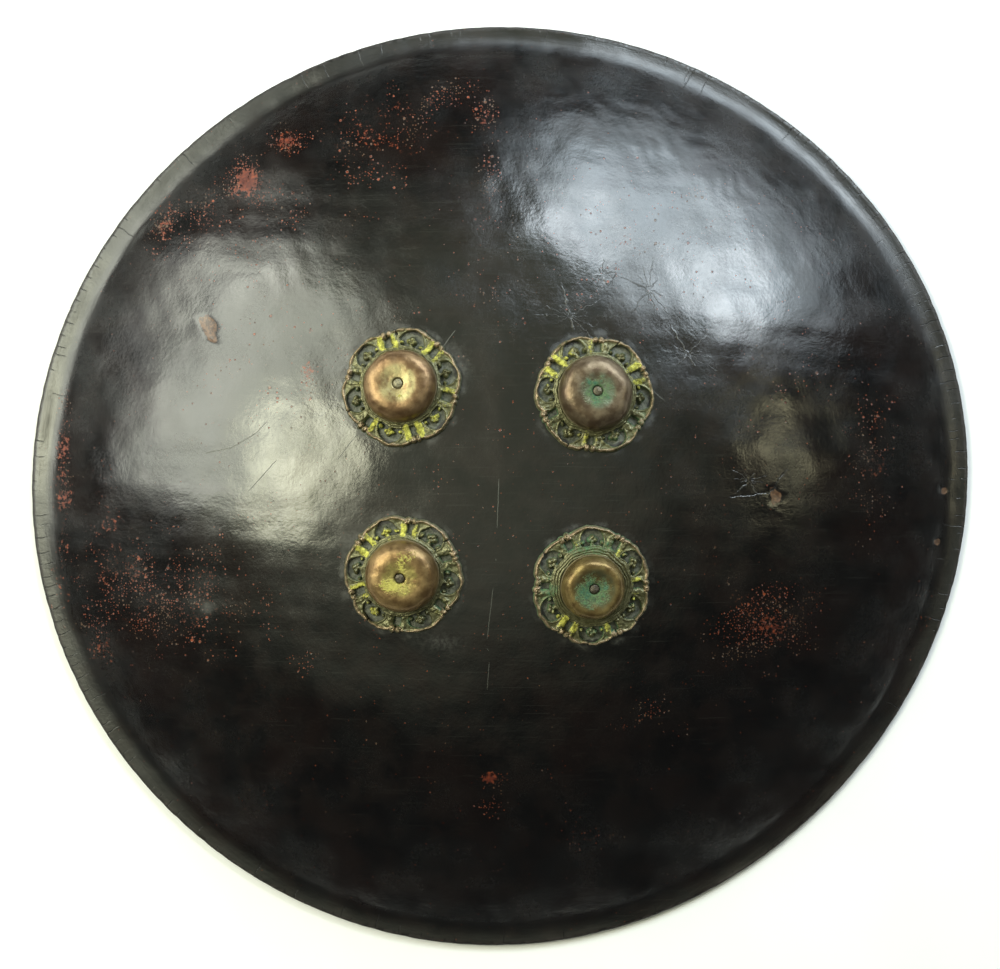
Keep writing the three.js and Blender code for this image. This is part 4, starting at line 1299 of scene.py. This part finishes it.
studio = {
    "cameraHeight": 1.40, "lens": 94.15, "centre": (0.0, 0.0008),
    # name, azimuth, zenith, distance, width, depth, power, colour
    "lights": [
        ("coolWindow", 58, 54, 1.5, 0.62, 1.05, 14, (0.78, 0.92, 1.0)),
        ("coolLeft", 73, 50.5, 1.45, 0.30, 0.36, 2.4, (0.90, 0.96, 1.0)),
        ("coolRight", 43, 54, 1.45, 0.30, 0.40, 3.0, (0.92, 0.97, 1.0)),
        ("warmWindow", 157, 51, 1.5, 0.92, 1.10, 18.5, (0.96, 1.0, 0.84)),
        ("warmCore", 173, 35, 1.45, 0.50, 0.56, 7, (1.0, 1.0, 0.72)),
        ("warmTop", 137, 60, 1.5, 0.22, 0.32, 0.7, (1.0, 1.0, 0.88)),
        ("coolWall", 54, 66, 1.9, 0.8, 2.0, 13, (0.80, 0.92, 1.0)),
        ("warmWall", 158, 64, 1.9, 0.9, 1.9, 7, (1.0, 1.0, 0.95)),
        ("farLamp", 6, 51, 1.6, 0.34, 0.34, 1.4, (0.85, 0.80, 0.50)),
    ],
    # a dim glow of the ceiling: azimuth, zenith, reach in degrees, strength, colour
    "glow": (140, 15, 65, 0.65, (0.95, 1.0, 0.74)),
    "floor": (0.81, 0.805, 0.825), "floorShade": (0.79, 0.79, 0.805), "room": 0.06,
}


def buildFloor():
    material, s, surface = newMaterial("paleFloor")
    tone = s.noise(s.place(), 0.01, 2.0)
    paper = s.mix(s.levels(tone, 0.3, 0.7), studio["floor"], studio["floorShade"])
    s.feed(surface.inputs["Base Color"], paper)
    surface.inputs["Roughness"].default_value = 0.9
    half = 4000
    points = np.array([[-half, -half, 0], [half, -half, 0], [half, half, 0], [-half, half, 0]], float)
    floor = meshPiece("paleFloor", points, [np.array([[0, 1, 2, 3]])], materials=[material])


def buildLights():
    for name, azimuth, zenith, distance, width, depth, power, colour in studio["lights"]:
        light = bpy.data.lights.new(name, "AREA")
        light.shape = "RECTANGLE" if "Window" in name else "ELLIPSE"
        light.size, light.size_y = width, depth
        light.energy = power
        light.color = colour
        lamp = bpy.data.objects.new(name, light)
        a, z = math.radians(azimuth), math.radians(zenith)
        lamp.location = (distance * math.sin(z) * math.cos(a), distance * math.sin(z) * math.sin(a),
                         distance * math.cos(z))
        lamp.rotation_euler = (0, z, a)
        bpy.context.scene.collection.objects.link(lamp)
    world = bpy.data.worlds.new("quietRoom")
    bpy.context.scene.world = world
    world.use_nodes = True
    world.node_tree.nodes.clear()
    s = Shade(world.node_tree)
    azimuth, zenith, reach, strength, colour = studio["glow"]
    a, z = math.radians(azimuth), math.radians(zenith)
    toward = (math.sin(z) * math.cos(a), math.sin(z) * math.sin(a), math.cos(z))
    near = s.vector("DOT_PRODUCT", s.put("ShaderNodeTexCoord").outputs["Generated"], toward)
    glow = s.math("POWER", s.levels(near, math.cos(math.radians(reach)), 1.0), 2.0)
    dim = tuple(studio["room"] * c for c in (0.95, 0.98, 1.0))
    room = s.put("ShaderNodeBackground", {"Color": s.mix(glow, dim, tuple(strength * c for c in colour))})
    seen = s.put("ShaderNodeBackground", {"Color": (0.93, 0.93, 0.93), "Strength": 1.0})
    either = s.put("ShaderNodeMixShader")
    s.tree.links.new(s.put("ShaderNodeLightPath").outputs["Is Camera Ray"], either.inputs[0])
    s.tree.links.new(room.outputs[0], either.inputs[1])
    s.tree.links.new(seen.outputs[0], either.inputs[2])
    s.tree.links.new(either.outputs[0], s.put("ShaderNodeOutputWorld").inputs[0])


def buildCamera():
    lens = bpy.data.cameras.new("overhead")
    lens.sensor_width = 36
    lens.lens = studio["lens"]
    lens.clip_end = 20
    camera = bpy.data.objects.new("overhead", lens)
    camera.location = (*studio["centre"], studio["cameraHeight"])
    bpy.context.scene.collection.objects.link(camera)
    bpy.context.scene.camera = camera
    bpy.context.scene.view_settings.view_transform = "Standard"
    bpy.context.scene.view_settings.look = "None"


buildFloor()
buildLights()
buildCamera()
print("floor, lights and camera set")
